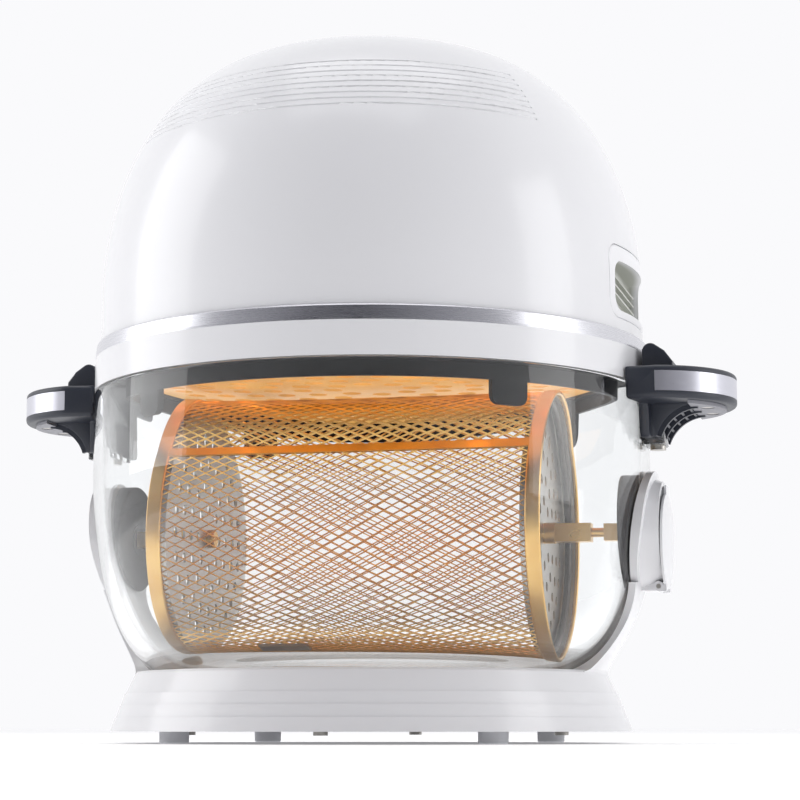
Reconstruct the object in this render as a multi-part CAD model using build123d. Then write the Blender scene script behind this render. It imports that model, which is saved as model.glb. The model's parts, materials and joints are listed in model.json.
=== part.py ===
from build123d import *
import os
from math import cos, radians, sin, sqrt

# Glass air fryer. A dome-shaped heater head lifts off a thick glass bowl, the bowl stands in a round
# base, and a wire drum turns inside it on magnetic hubs that two arms of the base hold from outside.
# Millimetres. Z is up from the floor, the front faces -Y and the driven arm is at +X.

# Heights
foot_height = 5.0
base_height = 25.5
bowl_lift = 17.0
skirt_height = 14.5
trim_height = 6.4
dome_height = 135.2

# Walls and clearances
base_wall = 2.6
glass_wall = 4.5
glass_floor = 5.0
skirt_wall = 2.1
dome_wall = 2.6
rest_gap = 0.3
slide_gap = 0.5
running_gap = 0.05

# Drum
drum_radius = 57.0
drum_wall = 0.8
drum_floor_gap = 6.0
drum_top_gap = 5.0
hub_radius = 24.5
hub_depth = 12.4
hub_room = 26.4
socket_square = 7.6

# Bowl and head: the head's rings step in a little from the bowl
bowl_radius = 122.8
skirt_step = 0.1
trim_step = 0.6
dome_step = 1.8

# Handles, from the rim of the bowl
handle_reach = 38.7
handle_half_width = 38.0
grip_below_rim = 9.0
grip_above_rim = 5.0
tab_above_rim = 17.0
root_below_rim = 23.0

# Places that follow from the sizes above
base_top = foot_height + base_height
bowl_bottom = foot_height + bowl_lift
drum_axis_height = bowl_bottom + glass_floor + drum_floor_gap + drum_radius
bowl_rim = drum_axis_height + drum_radius + drum_top_gap
skirt_low = bowl_rim + rest_gap
skirt_high = bowl_rim + skirt_height
trim_high = skirt_high + trim_height
crown = trim_high + dome_height
skirt_radius = bowl_radius - skirt_step
trim_radius = skirt_radius - trim_step
dome_radius = trim_radius - dome_step
hub_face_x = bowl_radius - hub_depth
drum_half_length = hub_face_x - hub_room
handle_low = bowl_rim - grip_below_rim
handle_high = bowl_rim + grip_above_rim
tab_high = bowl_rim + tab_above_rim
root_low = bowl_rim - root_below_rim
handle_tip = bowl_radius + handle_reach

# Curved outlines. Each is a rounded bell: (radius / a) ** p + (rise / b) ** q = 1.
bowl_shoulder_drop = 34.0
bowl_shoulder = bowl_rim - bowl_shoulder_drop
bowl_p = 7.0
bowl_q = 1.9
bowl_flat = 56.0
dome_straight = 18.8
dome_shoulder = trim_high + dome_straight
dome_p = 3.0
dome_q = 2.03


def bell_radius(rise, a, b, p, q):
    """Radius of a bell-shaped outline at a rise above or below its widest place."""
    share = min(max(rise / b, 0.0), 1.0)
    return a * (1 - share**q) ** (1 / p)


def bowl_radius_at(height):
    """Outer radius of the glass at a height."""
    return bell_radius(bowl_shoulder - height, bowl_radius, bowl_shoulder - bowl_bottom, bowl_p, bowl_q)


def dome_radius_at(height):
    """Outer radius of the dome at a height."""
    return bell_radius(height - dome_shoulder, dome_radius, crown - dome_shoulder, dome_p, dome_q)


def turned(*edges):
    """A solid turned about Z from edges drawn as (radius, height)."""
    return revolve(Plane.XZ * make_face([*edges]), Axis.Z)


def turned_outline(points):
    """A solid turned about Z from a closed outline of (radius, height) points."""
    return revolve(Plane.XZ * make_face(Polyline(*points, close=True)), Axis.Z)


def ring(inner, outer, low, high):
    """An upright ring between two radii and two heights."""
    return turned_outline([(inner, low), (outer, low), (outer, high), (inner, high)])


def post(radius, x, y, low, high):
    """An upright round post."""
    return Pos(x, y, low) * Cylinder(radius, high - low, align=(Align.CENTER, Align.CENTER, Align.MIN))


def block(x_low, x_high, y_low, y_high, z_low, z_high):
    """A rectangular block between two corners."""
    size = (x_high - x_low, y_high - y_low, z_high - z_low)
    middle = Pos((x_low + x_high) / 2, (y_low + y_high) / 2, (z_low + z_high) / 2)
    return middle * Box(*size)


def rod(radius, x_low, x_high, z=drum_axis_height, y=0.0):
    """A round bar along X."""
    turn = Pos(x_low, y, z) * Rot(0, 90, 0)
    return turn * Cylinder(radius, x_high - x_low, align=(Align.CENTER, Align.CENTER, Align.MIN))


def square_rod(side, x_low, x_high):
    """A square bar along X on the drum's axis."""
    half = side / 2
    return block(x_low, x_high, -half, half, drum_axis_height - half, drum_axis_height + half)


def around(count, start=0.0):
    """Angles in degrees of equal steps round a circle."""
    return [start + 360.0 * i / count for i in range(count)]


def on_circle(radius, angle):
    """A point on a circle, with the angle in degrees from +X."""
    return radius * cos(radians(angle)), radius * sin(radians(angle))


def both_sides(solid):
    """A right-hand solid together with its left-hand mirror image."""
    return [solid, mirror(solid, about=Plane.YZ)]


def bell_curve(a, b, p, q, widest, sign, end_radius):
    """Spline along a bell from its widest place to a flat end, as (radius, height) points."""
    shares = [0.0, 0.16, 0.32, 0.48, 0.62, 0.74, 0.84, 0.92, 0.97]
    points = [(bell_radius(s * b, a, b, p, q), widest + sign * s * b) for s in shares]
    points.append((end_radius, widest + sign * b))
    return Spline(*points, tangents=[(0, sign), (-1, 0)])


def bowl_curve(shrink, floor):
    """The glass outline below its shoulder, drawn in by a wall and lifted by a floor thickness."""
    depth = bowl_shoulder - bowl_bottom - floor
    return bell_curve(bowl_radius - shrink, depth, bowl_p, bowl_q, bowl_shoulder, -1, bowl_flat - shrink)


def bowl_space(shrink, floor, top):
    """A solid that fills the bowl's outline, for cutting and trimming."""
    curve = bowl_curve(shrink, floor)
    side = bowl_radius - shrink
    low = bowl_bottom + floor
    return turned(
        curve,
        Line(curve @ 1, (0, low)),
        Line((0, low), (0, top)),
        Line((0, top), (side, top)),
        Line((side, top), (side, bowl_shoulder)),
    )


def dome_space(shrink, low):
    """A solid that fills the dome's outline down to a height."""
    rise = crown - dome_shoulder - shrink
    curve = bell_curve(dome_radius - shrink, rise, dome_p, dome_q, dome_shoulder, 1, 0)
    side = dome_radius - shrink
    return turned(
        curve,
        Line((0, crown - shrink), (0, low)),
        Line((0, low), (side, low)),
        Line((side, low), (side, dome_shoulder)),
    )


# Base
base_floor = bowl_bottom - 1.5
cover_thickness = 2.0
cover_top = foot_height + cover_thickness
recess_gap = 0.95
recess_edge = bowl_radius_at(base_top) + recess_gap
base_top_land = 7.6
flank_spread = 10.5
base_top_radius = recess_edge + base_top_land
base_bottom_radius = base_top_radius + flank_spread
cover_radius = base_bottom_radius - base_wall - rest_gap
boss_inset = 29.7
boss_ring = base_bottom_radius - boss_inset
base_boss_radius = 4.0
base_screw_radius = 1.5
foot_radius = 6.2
foot_inset = 18.1
foot_ring = base_bottom_radius - foot_inset
seat_inner = 44.0
seat_outer = 54.0
flank_steps = 3
step_depth = 0.5


def flank_radius(share):
    """Radius of the base's flank, from 0 at the bottom to 1 at the top."""
    fall = base_bottom_radius - base_top_radius
    return base_bottom_radius - fall * (0.8 * share + 0.2 * share * share)


def base_outline():
    """Outer points of the base flank from the bottom up, with its shallow steps."""
    points = [(base_bottom_radius, foot_height)]
    for i in range(1, flank_steps + 1):
        share = 0.03 + 0.2 * i
        height = foot_height + base_height * share
        points.append((flank_radius(share), height))
        points.append((flank_radius(share) - step_depth, height))
    points.append((base_top_radius, base_top - 1.0))
    points.append((base_top_radius - 1.0, base_top))
    return points


def recess_points():
    """The dish that the glass stands in, from its edge to its flat floor."""
    return [
        (recess_edge, base_top),
        (bowl_radius_at(base_top - 3.0) + 2.0, base_top - 3.0),
        (bowl_radius_at(base_top - 6.2) + 5.2, base_top - 6.2),
        (recess_edge - 19.5, bowl_bottom - 0.2),
        (recess_edge - 25.5, base_floor),
        (0, base_floor),
    ]


def base_shell():
    """Skirted base moulding with the bowl's dish in its top and four screw bosses below."""
    under = base_floor - base_wall
    inside = [
        (0, under),
        (recess_edge - 25.5, under),
        (recess_edge - 10.0, base_top - 9.0),
        (recess_edge - 2.0, base_top - base_wall - 1.0),
        (base_top_radius - base_wall - 1.0, base_top - base_wall - 1.0),
        (flank_radius(0.45) - base_wall - step_depth, foot_height + 0.45 * base_height),
        (base_bottom_radius - base_wall, foot_height + 2.5),
        (base_bottom_radius - base_wall, foot_height),
    ]
    shell = turned_outline(base_outline() + recess_points() + inside)
    for angle in around(4):
        x, y = on_circle(boss_ring, angle)
        shell += post(base_boss_radius, x, y, cover_top, base_top - 7.8)
    for angle in around(4):
        x, y = on_circle(boss_ring, angle)
        shell -= post(base_screw_radius + running_gap, x, y, cover_top, base_top - 11.0)
    return shell


def base_cover():
    """Flat plate that closes the base from below."""
    cover = ring(0, cover_radius, foot_height, cover_top)
    for angle in around(4):
        x, y = on_circle(boss_ring, angle)
        cover -= post(base_screw_radius + running_gap, x, y, foot_height, cover_top)
    return cover


def base_feet():
    """Four rubber feet."""
    feet = []
    for angle in around(4, 45):
        x, y = on_circle(foot_ring, angle)
        foot = post(foot_radius, x, y, 0, foot_height)
        feet.append(chamfer(foot.edges().group_by(Axis.Z)[0], 0.6))
    return feet


def base_screws():
    """Pan-head screws that hold the cover."""
    screws = []
    head_height = 1.6
    for angle in around(4):
        x, y = on_circle(boss_ring, angle)
        shank = post(base_screw_radius, x, y, foot_height, base_top - 12.0)
        screws.append(shank + post(3.0, x, y, foot_height - head_height, foot_height))
    return screws


def bowl_seat():
    """Silicone ring under the flat of the glass."""
    return ring(seat_inner, seat_outer, base_floor, bowl_bottom - 0.2)


def battery_pack():
    """Flat rechargeable pack that feeds the drum's drive."""
    pack = block(-36, 36, -20, 20, cover_top, cover_top + 8.5)
    return fillet(pack.edges().filter_by(Axis.Z), 3.0)


def driver_board():
    """Circuit board of the drive on four pillars, with its tall parts."""
    board = block(-26, 26, 34, 64, cover_top + 2.0, cover_top + 3.6)
    for x in (-22, 22):
        for y in (38, 60):
            board += post(2.2, x, y, cover_top, cover_top + 2.0)
    board += block(-18, -4, 42, 56, cover_top + 3.6, cover_top + 7.0)
    board += post(3.6, 10, 48, cover_top + 3.6, cover_top + 9.0)
    return board


# Arms that stand on the base and hold the drive and the keeper magnet against the glass
arm_thickness = 3.2
arm_root_low = base_top - 6.5
arm_root_half_width = 30.0
arm_neck_half_width = 12.0
arm_disc_radius = 26.0
housing_back_radius = arm_disc_radius - 1.4
housing_face_radius = arm_disc_radius - 4.6
housing_depth = 5.1
cavity_wall = 1.2
cavity_radius = arm_disc_radius - 6.6
cavity_x = bowl_radius + slide_gap + cavity_wall
housing_face_x = cavity_x + housing_depth
rotor_thickness = 1.6
keeper_radius = 12.0
keeper_thickness = 1.5
keeper_x = bowl_radius - 1.2
cap_radius = 20.5
cap_drop = 4.3
cap_edge = 1.0
cap_bulge = 2.2
cap_wall = 1.0
cap_centre_height = drum_axis_height - cap_drop
cap_inner_x = housing_face_x + 0.4
cap_pin_radius = 1.0
knuckle_radius = 2.1
cap_pin_x = cap_inner_x - 2.4
cap_pin_height = cap_centre_height - cap_radius + 1.0
cap_pin_half_length = 8.1
spindle_radius = 1.5
rotor_back_x = cavity_x + rest_gap + rotor_thickness


def arm_outline():
    """Face of an arm as seen from the side: a flared root, a narrow neck and a round head."""
    side = Spline(
        (arm_root_half_width, base_top - 0.5),
        (arm_neck_half_width + 7.0, base_top + 4.0),
        (arm_neck_half_width + 1.0, base_top + 14.0),
        (arm_neck_half_width, base_top + 25.0),
        (arm_neck_half_width + 5.0, base_top + 37.0),
    )
    other = mirror(side, about=Plane.YZ)
    stem = make_face(
        [
            side,
            Line(side @ 1, other @ 1),
            other,
            Line(other @ 0, (-arm_root_half_width, arm_root_low)),
            Line((-arm_root_half_width, arm_root_low), (arm_root_half_width, arm_root_low)),
            Line((arm_root_half_width, arm_root_low), side @ 0),
        ]
    )
    return stem + Pos(0, drum_axis_height) * Circle(arm_disc_radius)


def arm_band():
    """The curved layer outside the glass that an arm is cut from, thicker at the root."""
    top = ear_low - rest_gap
    heights = [base_top, base_top + 4.5, base_top + 11.0, base_top + 24.0, base_top + 45.0]
    extras = [5.0, 1.5, 0.0, 0.0, 0.0]
    gap_and_wall = slide_gap + arm_thickness
    points = [(bowl_radius_at(z) + gap_and_wall + e, z) for z, e in zip(heights, extras)]
    outer = Spline(*points, (bowl_radius + gap_and_wall, bowl_shoulder), tangents=[(0.3, 1), (0, 1)])
    start = outer @ 0
    return turned(
        outer,
        Line(outer @ 1, (bowl_radius + gap_and_wall, top)),
        Line((bowl_radius + gap_and_wall, top), (recess_edge - 8.0, top)),
        Line((recess_edge - 8.0, top), (recess_edge - 8.0, arm_root_low)),
        Line((recess_edge - 8.0, arm_root_low), (start.X, arm_root_low)),
        Line((start.X, arm_root_low), outer @ 0),
    )


def glass_clearance():
    """The glass with the gap that the arms keep from it."""
    return bowl_space(-slide_gap, -slide_gap, bowl_rim)


def plain_arm():
    """An arm that hugs the glass, before its head is finished."""
    blank = extrude(Plane.YZ.offset(80.0) * arm_outline(), 60.0)
    return (blank & arm_band()) - glass_clearance()


def drive_arm():
    """Right arm with the motor's housing as a dished round head and a hinge knuckle below it."""
    back_x = cavity_x - 6.0
    cone = Pos(back_x, 0, drum_axis_height) * Rot(0, 90, 0) * Cone(
        housing_back_radius,
        housing_face_radius,
        housing_face_x - back_x,
        align=(Align.CENTER, Align.CENTER, Align.MIN),
    )
    arm = plain_arm() + (cone - glass_clearance())
    cavity = rod(cavity_radius, cavity_x, housing_face_x)
    arm -= cavity
    knuckle = Pos(cap_pin_x, 0, cap_pin_height) * Rot(90, 0, 0) * Cylinder(knuckle_radius, 7.6)
    lug = block(cap_pin_x - 8.0, cap_pin_x, -3.8, 3.8, cap_pin_height - 1.6, cap_pin_height + 1.6)
    web = block(cap_pin_x - 8.0, cap_pin_x, -3.8, 3.8, cap_pin_height, cap_pin_height + 5.0)
    arm += knuckle + ((lug + web) - cavity - glass_clearance())
    return arm - cap_pin_bore()


def cap_pin_bore():
    """Running bore round the cap's pin."""
    radius = cap_pin_radius + running_gap
    return Pos(cap_pin_x, 0, cap_pin_height) * Rot(90, 0, 0) * Cylinder(radius, 40.0)


def idler_arm():
    """Left arm, with a pocket for the keeper magnet in the side that faces the glass."""
    arm = plain_arm()
    arm -= rod(keeper_radius + 0.1, keeper_x - 4.0, keeper_x + keeper_thickness)
    return mirror(arm, about=Plane.YZ)


def keeper_magnet():
    """Flat magnet in the left arm that holds the left hub in place."""
    magnet = rod(keeper_radius, keeper_x, keeper_x + keeper_thickness)
    return mirror(magnet - glass_clearance(), about=Plane.YZ)


def drive_rotor():
    """Magnet plate that turns with the drum, on the spindle of the motor."""
    plate = rod(cavity_radius - 2.4, cavity_x + rest_gap, rotor_back_x)
    return plate + rod(spindle_radius, rotor_back_x, rotor_back_x + 1.8)


def drive_motor():
    """Flat geared motor in the arm's housing, with its gear boss towards the cap."""
    low = rotor_back_x + rest_gap
    motor = rod(cavity_radius - 0.2, low, housing_face_x - 0.1)
    motor += rod(9.0, housing_face_x - 0.1, housing_face_x + 1.2)
    return motor - rod(spindle_radius + running_gap, low, low + 2.0)


def cap_dome(radius, low, high):
    """Arc of a shallow dome from its rim in to the axis, as (radius, height)."""
    sphere_radius = (radius**2 + (high - low) ** 2) / (2 * (high - low))
    middle = high - sphere_radius + sqrt(sphere_radius**2 - radius**2 / 4)
    return ThreePointArc((radius, low), (radius / 2, middle), (0, high))


def end_cap():
    """Domed service cap over the motor, with a finger tab at its top and two hinge knuckles below."""
    inner = cap_radius - cap_wall
    shell = turned(
        Line((inner, 0), (cap_radius, 0)),
        Line((cap_radius, 0), (cap_radius, cap_edge)),
        cap_dome(cap_radius, cap_edge, cap_edge + cap_bulge),
        Line((0, cap_edge + cap_bulge), (0, cap_bulge)),
        cap_dome(inner, cap_edge - 0.4, cap_bulge),
        Line((inner, cap_edge - 0.4), (inner, 0)),
    )
    cap = Pos(cap_inner_x, 0, cap_centre_height) * Rot(0, 90, 0) * shell
    top = cap_centre_height + cap_radius
    cap += block(cap_inner_x + 0.1, cap_inner_x + cap_edge, -4.0, 4.0, top - 1.5, top + 3.4)
    low = cap_pin_height - knuckle_radius
    for y in (-6.1, 6.1):
        knuckle = Pos(cap_pin_x, y, cap_pin_height) * Rot(90, 0, 0) * Cylinder(knuckle_radius, 4.0)
        arm = block(cap_pin_x, cap_inner_x + cap_edge, y - 2.0, y + 2.0, low, cap_pin_height + 0.6)
        foot = block(cap_inner_x, cap_inner_x + cap_edge, y - 2.0, y + 2.0, low, cap_pin_height + 1.4)
        cap += knuckle + arm + foot
    return cap - cap_pin_bore()


def cap_pin():
    """Hinge pin of the cap."""
    turn = Pos(cap_pin_x, 0, cap_pin_height) * Rot(90, 0, 0)
    return turn * Cylinder(cap_pin_radius, 2 * cap_pin_half_length)


# Glass bowl and what it carries
ear_half_width = 10.0
ear_low = bowl_rim - 25.0
ear_high = ear_low + 12.0
ear_reach = bowl_radius + 8.2
ear_screw_x = bowl_radius + 4.6
ear_screw_radius = 1.9


def glass_bowl():
    """Thick glass bowl with a moulded ear under each handle."""
    outer = bowl_curve(0, 0)
    inner = bowl_curve(glass_wall, glass_floor)
    inside = bowl_radius - glass_wall
    edge = 0.8
    bowl = turned(
        outer,
        Line(outer @ 1, (0, bowl_bottom)),
        Line((0, bowl_bottom), (0, bowl_bottom + glass_floor)),
        Line((0, bowl_bottom + glass_floor), inner @ 1),
        inner,
        Line(inner @ 0, (inside, bowl_rim - edge)),
        Line((inside, bowl_rim - edge), (inside + edge, bowl_rim)),
        Line((inside + edge, bowl_rim), (bowl_radius - edge, bowl_rim)),
        Line((bowl_radius - edge, bowl_rim), (bowl_radius, bowl_rim - edge)),
        Line((bowl_radius, bowl_rim - edge), outer @ 0),
    )
    ear = block(inside + 1.0, ear_reach, -ear_half_width, ear_half_width, ear_low, ear_high)
    ear = fillet(ear.edges().filter_by(Axis.Z).group_by(Axis.X)[-1], 3.0)
    ear -= bowl_space(1.0, 1.0, bowl_rim)
    ear -= post(ear_screw_radius + 0.3, ear_screw_x, 0, ear_low, ear_high)
    for solid in both_sides(ear):
        bowl += solid
    return bowl


# Handles: the plan is a half-round grip, the root is a curved plate against the glass
grip_start_x = bowl_radius + 8.2
wall_inner = bowl_radius + slide_gap
wall_outer = wall_inner + 4.2
inlay_depth = 1.8
inlay_low = handle_low + 3.0
inlay_high = handle_high - 2.5
handle_split = (inlay_low + inlay_high) / 2
rib_places = (-31.0, -16.5, 16.5, 31.0)
handle_screw_x = handle_tip - 11.5
handle_screw_y = 10.0
handle_screw_radius = 1.6
panel_low = handle_low - 1.4
panel_start_x = grip_start_x + 12.5


def grip_plan(inset):
    """Top view of the grip, drawn in by an inset."""
    half = handle_half_width - inset
    tip = ThreePointArc((grip_start_x, -half), (handle_tip - inset, 0), (grip_start_x, half))
    return make_face(
        [
            tip,
            Line((grip_start_x, half), (hub_face_x, half + 2.0)),
            Line((hub_face_x, half + 2.0), (hub_face_x, -half - 2.0)),
            Line((hub_face_x, -half - 2.0), (grip_start_x, -half)),
        ]
    )


def root_front(low, high):
    """The curved plate against glass and skirt between two heights, as seen from the side."""
    root_half = handle_half_width + 3.0
    tab_half = handle_half_width - 6.0
    plate = Polyline(
        (-root_half + 10.0, root_low),
        (root_half - 10.0, root_low),
        (root_half, root_low + 9.0),
        (root_half, handle_high - 1.0),
        (tab_half, handle_high + 3.0),
        (tab_half, tab_high - 7.0),
        (tab_half - 8.0, tab_high),
        (-tab_half + 8.0, tab_high),
        (-tab_half, tab_high - 7.0),
        (-tab_half, handle_high + 3.0),
        (-root_half, handle_high - 1.0),
        (-root_half, root_low + 9.0),
        close=True,
    )
    face = make_face(plate)
    window = Pos(0, (low + high) / 2) * Rectangle(4 * root_half, high - low)
    slab = extrude(Plane.YZ.offset(hub_face_x - 20.0) * (face & window), 50.0)
    return slab & ring(wall_inner, wall_outer, low, high)


def grip_slab(low, high, inset=0.0):
    """The grip between two heights, clear of the glass."""
    slab = extrude(Plane.XY.offset(low) * grip_plan(inset), high - low)
    return slab - ring(0, wall_inner, low - 1.0, high + 1.0)


def inlay_band():
    """Bright band let into the side of the grip."""
    outer = extrude(Plane.XY.offset(inlay_low) * grip_plan(0), inlay_high - inlay_low)
    inner = extrude(Plane.XY.offset(inlay_low) * grip_plan(inlay_depth), inlay_high - inlay_low)
    return (outer - inner) & block(grip_start_x, handle_tip + 5.0, -60, 60, inlay_low, inlay_high)


def inlay_groove():
    """Groove that the bright band lies in."""
    gap = 0.1
    low, high = inlay_low - gap, inlay_high + gap
    outer = extrude(Plane.XY.offset(low) * grip_plan(-1.0), high - low)
    inner = extrude(Plane.XY.offset(low) * grip_plan(inlay_depth + gap), high - low)
    return (outer - inner) & block(grip_start_x - gap, handle_tip + 5.0, -60, 60, low, high)


def handle_upper():
    """Upper shell of a handle with the tab that locates the head."""
    shell = root_front(handle_split, tab_high) + grip_slab(handle_split, handle_high)
    scoop = Pos(wall_outer + 21.5, 0, handle_high + 14.0) * Sphere(22.0)
    shell -= scoop & block(wall_outer - 2.4, handle_tip, -60, 60, handle_high, tab_high + 40)
    shell -= inlay_groove()
    for y in (-handle_screw_y, handle_screw_y):
        shell -= post(handle_screw_radius + running_gap, handle_screw_x, y, handle_split, handle_high - 2.5)
    return shell


def handle_lower():
    """Lower shell of a handle with the ribs under its root and the boss over the glass ear."""
    shell = root_front(root_low, handle_split) + grip_slab(handle_low, handle_split)
    for y in rib_places:
        outline = Polyline(
            (wall_outer - 6.0, root_low + 6.0),
            (wall_outer + 15.0, handle_low),
            (wall_outer - 6.0, handle_low),
            close=True,
        )
        rib = extrude(Plane.XZ.offset(-y - 1.0) * make_face(outline), 2.0)
        shell += rib - ring(0, wall_inner, root_low, handle_low)
    ear_half = ear_half_width + rest_gap
    ear_top = ear_high + rest_gap
    shell -= block(hub_face_x, ear_reach + rest_gap, -ear_half, ear_half, ear_low - 30.0, ear_top)
    shell -= post(ear_screw_radius + running_gap, ear_screw_x, 0, ear_high, handle_split - 2.0)
    shell -= inlay_groove()
    for y in (-handle_screw_y, handle_screw_y):
        shell -= post(handle_screw_radius + running_gap, handle_screw_x, y, handle_low, handle_split)
    return shell


def handle_panel():
    """Grey plate under the grip, with two screw holes."""
    plate = grip_slab(panel_low, handle_low, 4.5)
    plate &= block(panel_start_x, handle_tip, -60, 60, panel_low, handle_low)
    for y in (-handle_screw_y, handle_screw_y):
        plate -= post(2.9, handle_screw_x, y, panel_low, handle_low)
    return plate


def handle_screws():
    """Screws that join the shells of both handles."""
    screws = []
    for y in (-handle_screw_y, handle_screw_y):
        screw = post(handle_screw_radius, handle_screw_x, y, handle_low, handle_high - 3.0)
        screws += both_sides(screw + post(2.7, handle_screw_x, y, handle_low - 1.2, handle_low))
    return screws


def ear_screws():
    """Screws that clamp the handles to the ears of the glass."""
    screw = post(ear_screw_radius, ear_screw_x, 0, ear_low, handle_split - 2.5)
    return both_sides(screw + post(3.4, ear_screw_x, 0, ear_low - 1.8, ear_low))


magnet_height = skirt_high - 3.5


def interlock_magnet():
    """Small magnet in the right tab that tells the head it is seated."""
    return rod(3.0, wall_inner + 0.15, wall_inner + 1.9, magnet_height)


# Magnetic hubs inside the glass
rotor_radius = 12.0
rotor_low_x = hub_face_x + 1.3
rotor_high_x = hub_face_x + 2.9
boss_radius = 7.2


def hub_cup():
    """Right bearing cup, flat towards the drum and shaped to the glass behind."""
    cup = rod(hub_radius, hub_face_x, hub_face_x + 12.0)
    cup = fillet(cup.faces().sort_by(Axis.X)[0].edges(), 1.0)
    cup &= bowl_space(glass_wall + rest_gap, glass_floor + rest_gap, bowl_rim)
    cup -= rod(rotor_radius + 0.3, rotor_low_x - 0.3, rotor_high_x + 0.3)
    return cup - rod(boss_radius + running_gap, hub_face_x - 1.0, rotor_low_x)


def hub_rotor():
    """Right magnet rotor with the square socket that takes the drum's shaft."""
    rotor = rod(rotor_radius, rotor_low_x, rotor_high_x) + rod(boss_radius, hub_face_x - 0.6, rotor_low_x)
    return rotor - square_rod(socket_square, hub_face_x - 1.0, rotor_high_x - 0.5)


# Rotating drum
mesh_columns = 13
mesh_around = 18
diamond_along = 8.6
diamond_across = 13.0
rim_width = 5.0
rim_outer = drum_radius + 0.6
disc_x = drum_half_length - 8.0
disc_thickness = 1.0
disc_rings = ((0.25, 8), (0.42, 14), (0.6, 20), (0.77, 26))
disc_hole_radius = 2.3
shaft_collar_side = 8.0
shaft_neck_radius = 2.0
shaft_end_side = 7.3
collar_start_x = drum_half_length - 2.0
collar_end_x = drum_half_length + 13.6
neck_end_x = collar_end_x + 5.4
seam_angle = 143.0
latch_angle = 247.0
latch_x = -33.0


def drum_tube(inner, outer, x_low, x_high):
    """A tube along X on the drum's axis."""
    return rod(outer, x_low, x_high) - rod(inner, x_low, x_high)


def basket_mesh():
    """Tube of coarse diamond mesh: staggered rows of diamond openings."""
    reach = drum_half_length - 1.0
    tube = drum_tube(drum_radius - drum_wall, drum_radius, -reach, reach)
    pitch = 2 * (reach - rim_width) / mesh_columns
    half_along = diamond_along / 2
    half_across = diamond_across / 2
    diamond = make_face(
        Polyline((-half_along, 0), (0, -half_across), (half_along, 0), (0, half_across), close=True)
    )
    tool = extrude(Plane.XY.offset(drum_radius - 5.0) * diamond, 10.0)
    cuts = []
    for column in range(mesh_columns):
        x = -reach + rim_width + pitch * (column + 0.5)
        start = 180.0 / mesh_around * (column % 2)
        for angle in around(mesh_around, start):
            cuts.append(Pos(x, 0, drum_axis_height) * Rot(angle, 0, 0) * tool)
    return tube - cuts


def basket_rims():
    """Solid bands round both ends of the mesh."""
    rim = drum_tube(drum_radius, rim_outer, drum_half_length - rim_width, drum_half_length)
    lip = drum_tube(drum_radius - drum_wall, rim_outer, drum_half_length - 1.0, drum_half_length)
    return both_sides(rim + lip)


def end_disc():
    """Right end plate: a shallow cup with rings of round holes."""
    radius = drum_radius - drum_wall
    disc = rod(radius, disc_x, disc_x + disc_thickness)
    disc += drum_tube(radius - disc_thickness, radius, disc_x, drum_half_length - 1.5)
    holes = [rod(shaft_neck_radius, disc_x, disc_x + disc_thickness)]
    for share, count in disc_rings:
        for angle in around(count):
            y, z = on_circle(share * drum_radius, angle)
            holes.append(rod(disc_hole_radius, disc_x, disc_x + disc_thickness, drum_axis_height + z, y))
    return disc - holes


def on_drum(solid, angle):
    """Turns a solid made above the drum's axis to an angle about that axis."""
    return Pos(0, 0, drum_axis_height) * Rot(angle - 90.0, 0, 0) * solid


def seam_strip():
    """Flat strip that joins the two edges of the mesh."""
    reach = drum_half_length - rim_width
    strip = block(-reach, reach, -4.0, 4.0, drum_radius - 1.0, drum_radius + 0.5)
    return on_drum(strip - rod(drum_radius, -reach, reach, 0), seam_angle)


def basket_latch():
    """Spring clip that closes the seam of the mesh."""
    clip = block(latch_x - 11, latch_x + 11, -3.5, 3.5, drum_radius - 1.0, drum_radius + 1.4)
    return on_drum(clip - rod(drum_radius, latch_x - 11, latch_x + 11, 0), latch_angle)


def stub_shaft():
    """Right stub shaft: threaded end, square collar, neck and square end."""
    shaft = rod(shaft_neck_radius, disc_x - 3.0, neck_end_x)
    shaft += square_rod(shaft_collar_side, collar_start_x, collar_end_x)
    shaft += rod(shaft_collar_side / 2 + 0.6, disc_x + disc_thickness, collar_start_x)
    return shaft + square_rod(shaft_end_side, neck_end_x, rotor_high_x - 0.7)


def shaft_nuts():
    """Domed nuts that hold the end plates to the shafts."""
    nut = rod(4.2, disc_x - 3.4, disc_x) - rod(shaft_neck_radius, disc_x - 3.0, disc_x)
    return both_sides(chamfer(nut.faces().sort_by(Axis.X)[0].edges(), 0.8))


# Heater head
vent_half_width = 41.0
vent_height = 32.0
vent_low = trim_high + 5.1
vent_high = vent_low + vent_height
vent_corner = 8.0
vent_gap = 0.3
vent_depth = 16.3
vent_back_x = dome_radius - vent_depth
pocket_half_width = 36.5
pocket_low = vent_low + 6.0
pocket_high = vent_high - 8.0
pocket_back_x = vent_back_x + 2.5
louvre_count = 3
louvre_pitch = 3.0
louvre_thickness = 1.0
slot_half_width = 30.0
slot_height = 1.6
groove_count = 9
groove_low = crown - 49.1
groove_high = crown - 26.6
groove_radius = 0.55
groove_span = 110.0
panel_radius = 40.0
panel_base = crown - 3.8
crown_boss_inner = panel_radius - 6.0
crown_boss_outer = panel_radius + 4.0
crown_boss_low = crown - 8.6
gland_height = trim_high + 17.1
gland_radius = 7.0
gland_bore = 3.6
gland_length = 10.6
gland_outer_y = skirt_radius - 0.1
ledge_low = trim_high + 0.1
ledge_high = ledge_low + 3.0
partition_top = ledge_high + 1.2
head_boss_ring = dome_radius - 11.3
head_boss_low = partition_top + 0.2
head_screw_radius = 1.5
flange_low = bowl_rim + 2.0
flange_high = flange_low + 2.0
collar_radius = bowl_radius - 14.8
collar_wall = 2.5
flange_inner = collar_radius - 9.0
collar_low = bowl_rim - 6.8
lug_length = 9.7
lug_low = collar_low - lug_length
lug_half_width = 8.5
guard_low = collar_low + 5.1
guard_ring_start = 18.0
guard_ring_step = 14.0
guard_ring_count = 6
reflector_top = ledge_low - 2.0
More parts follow.
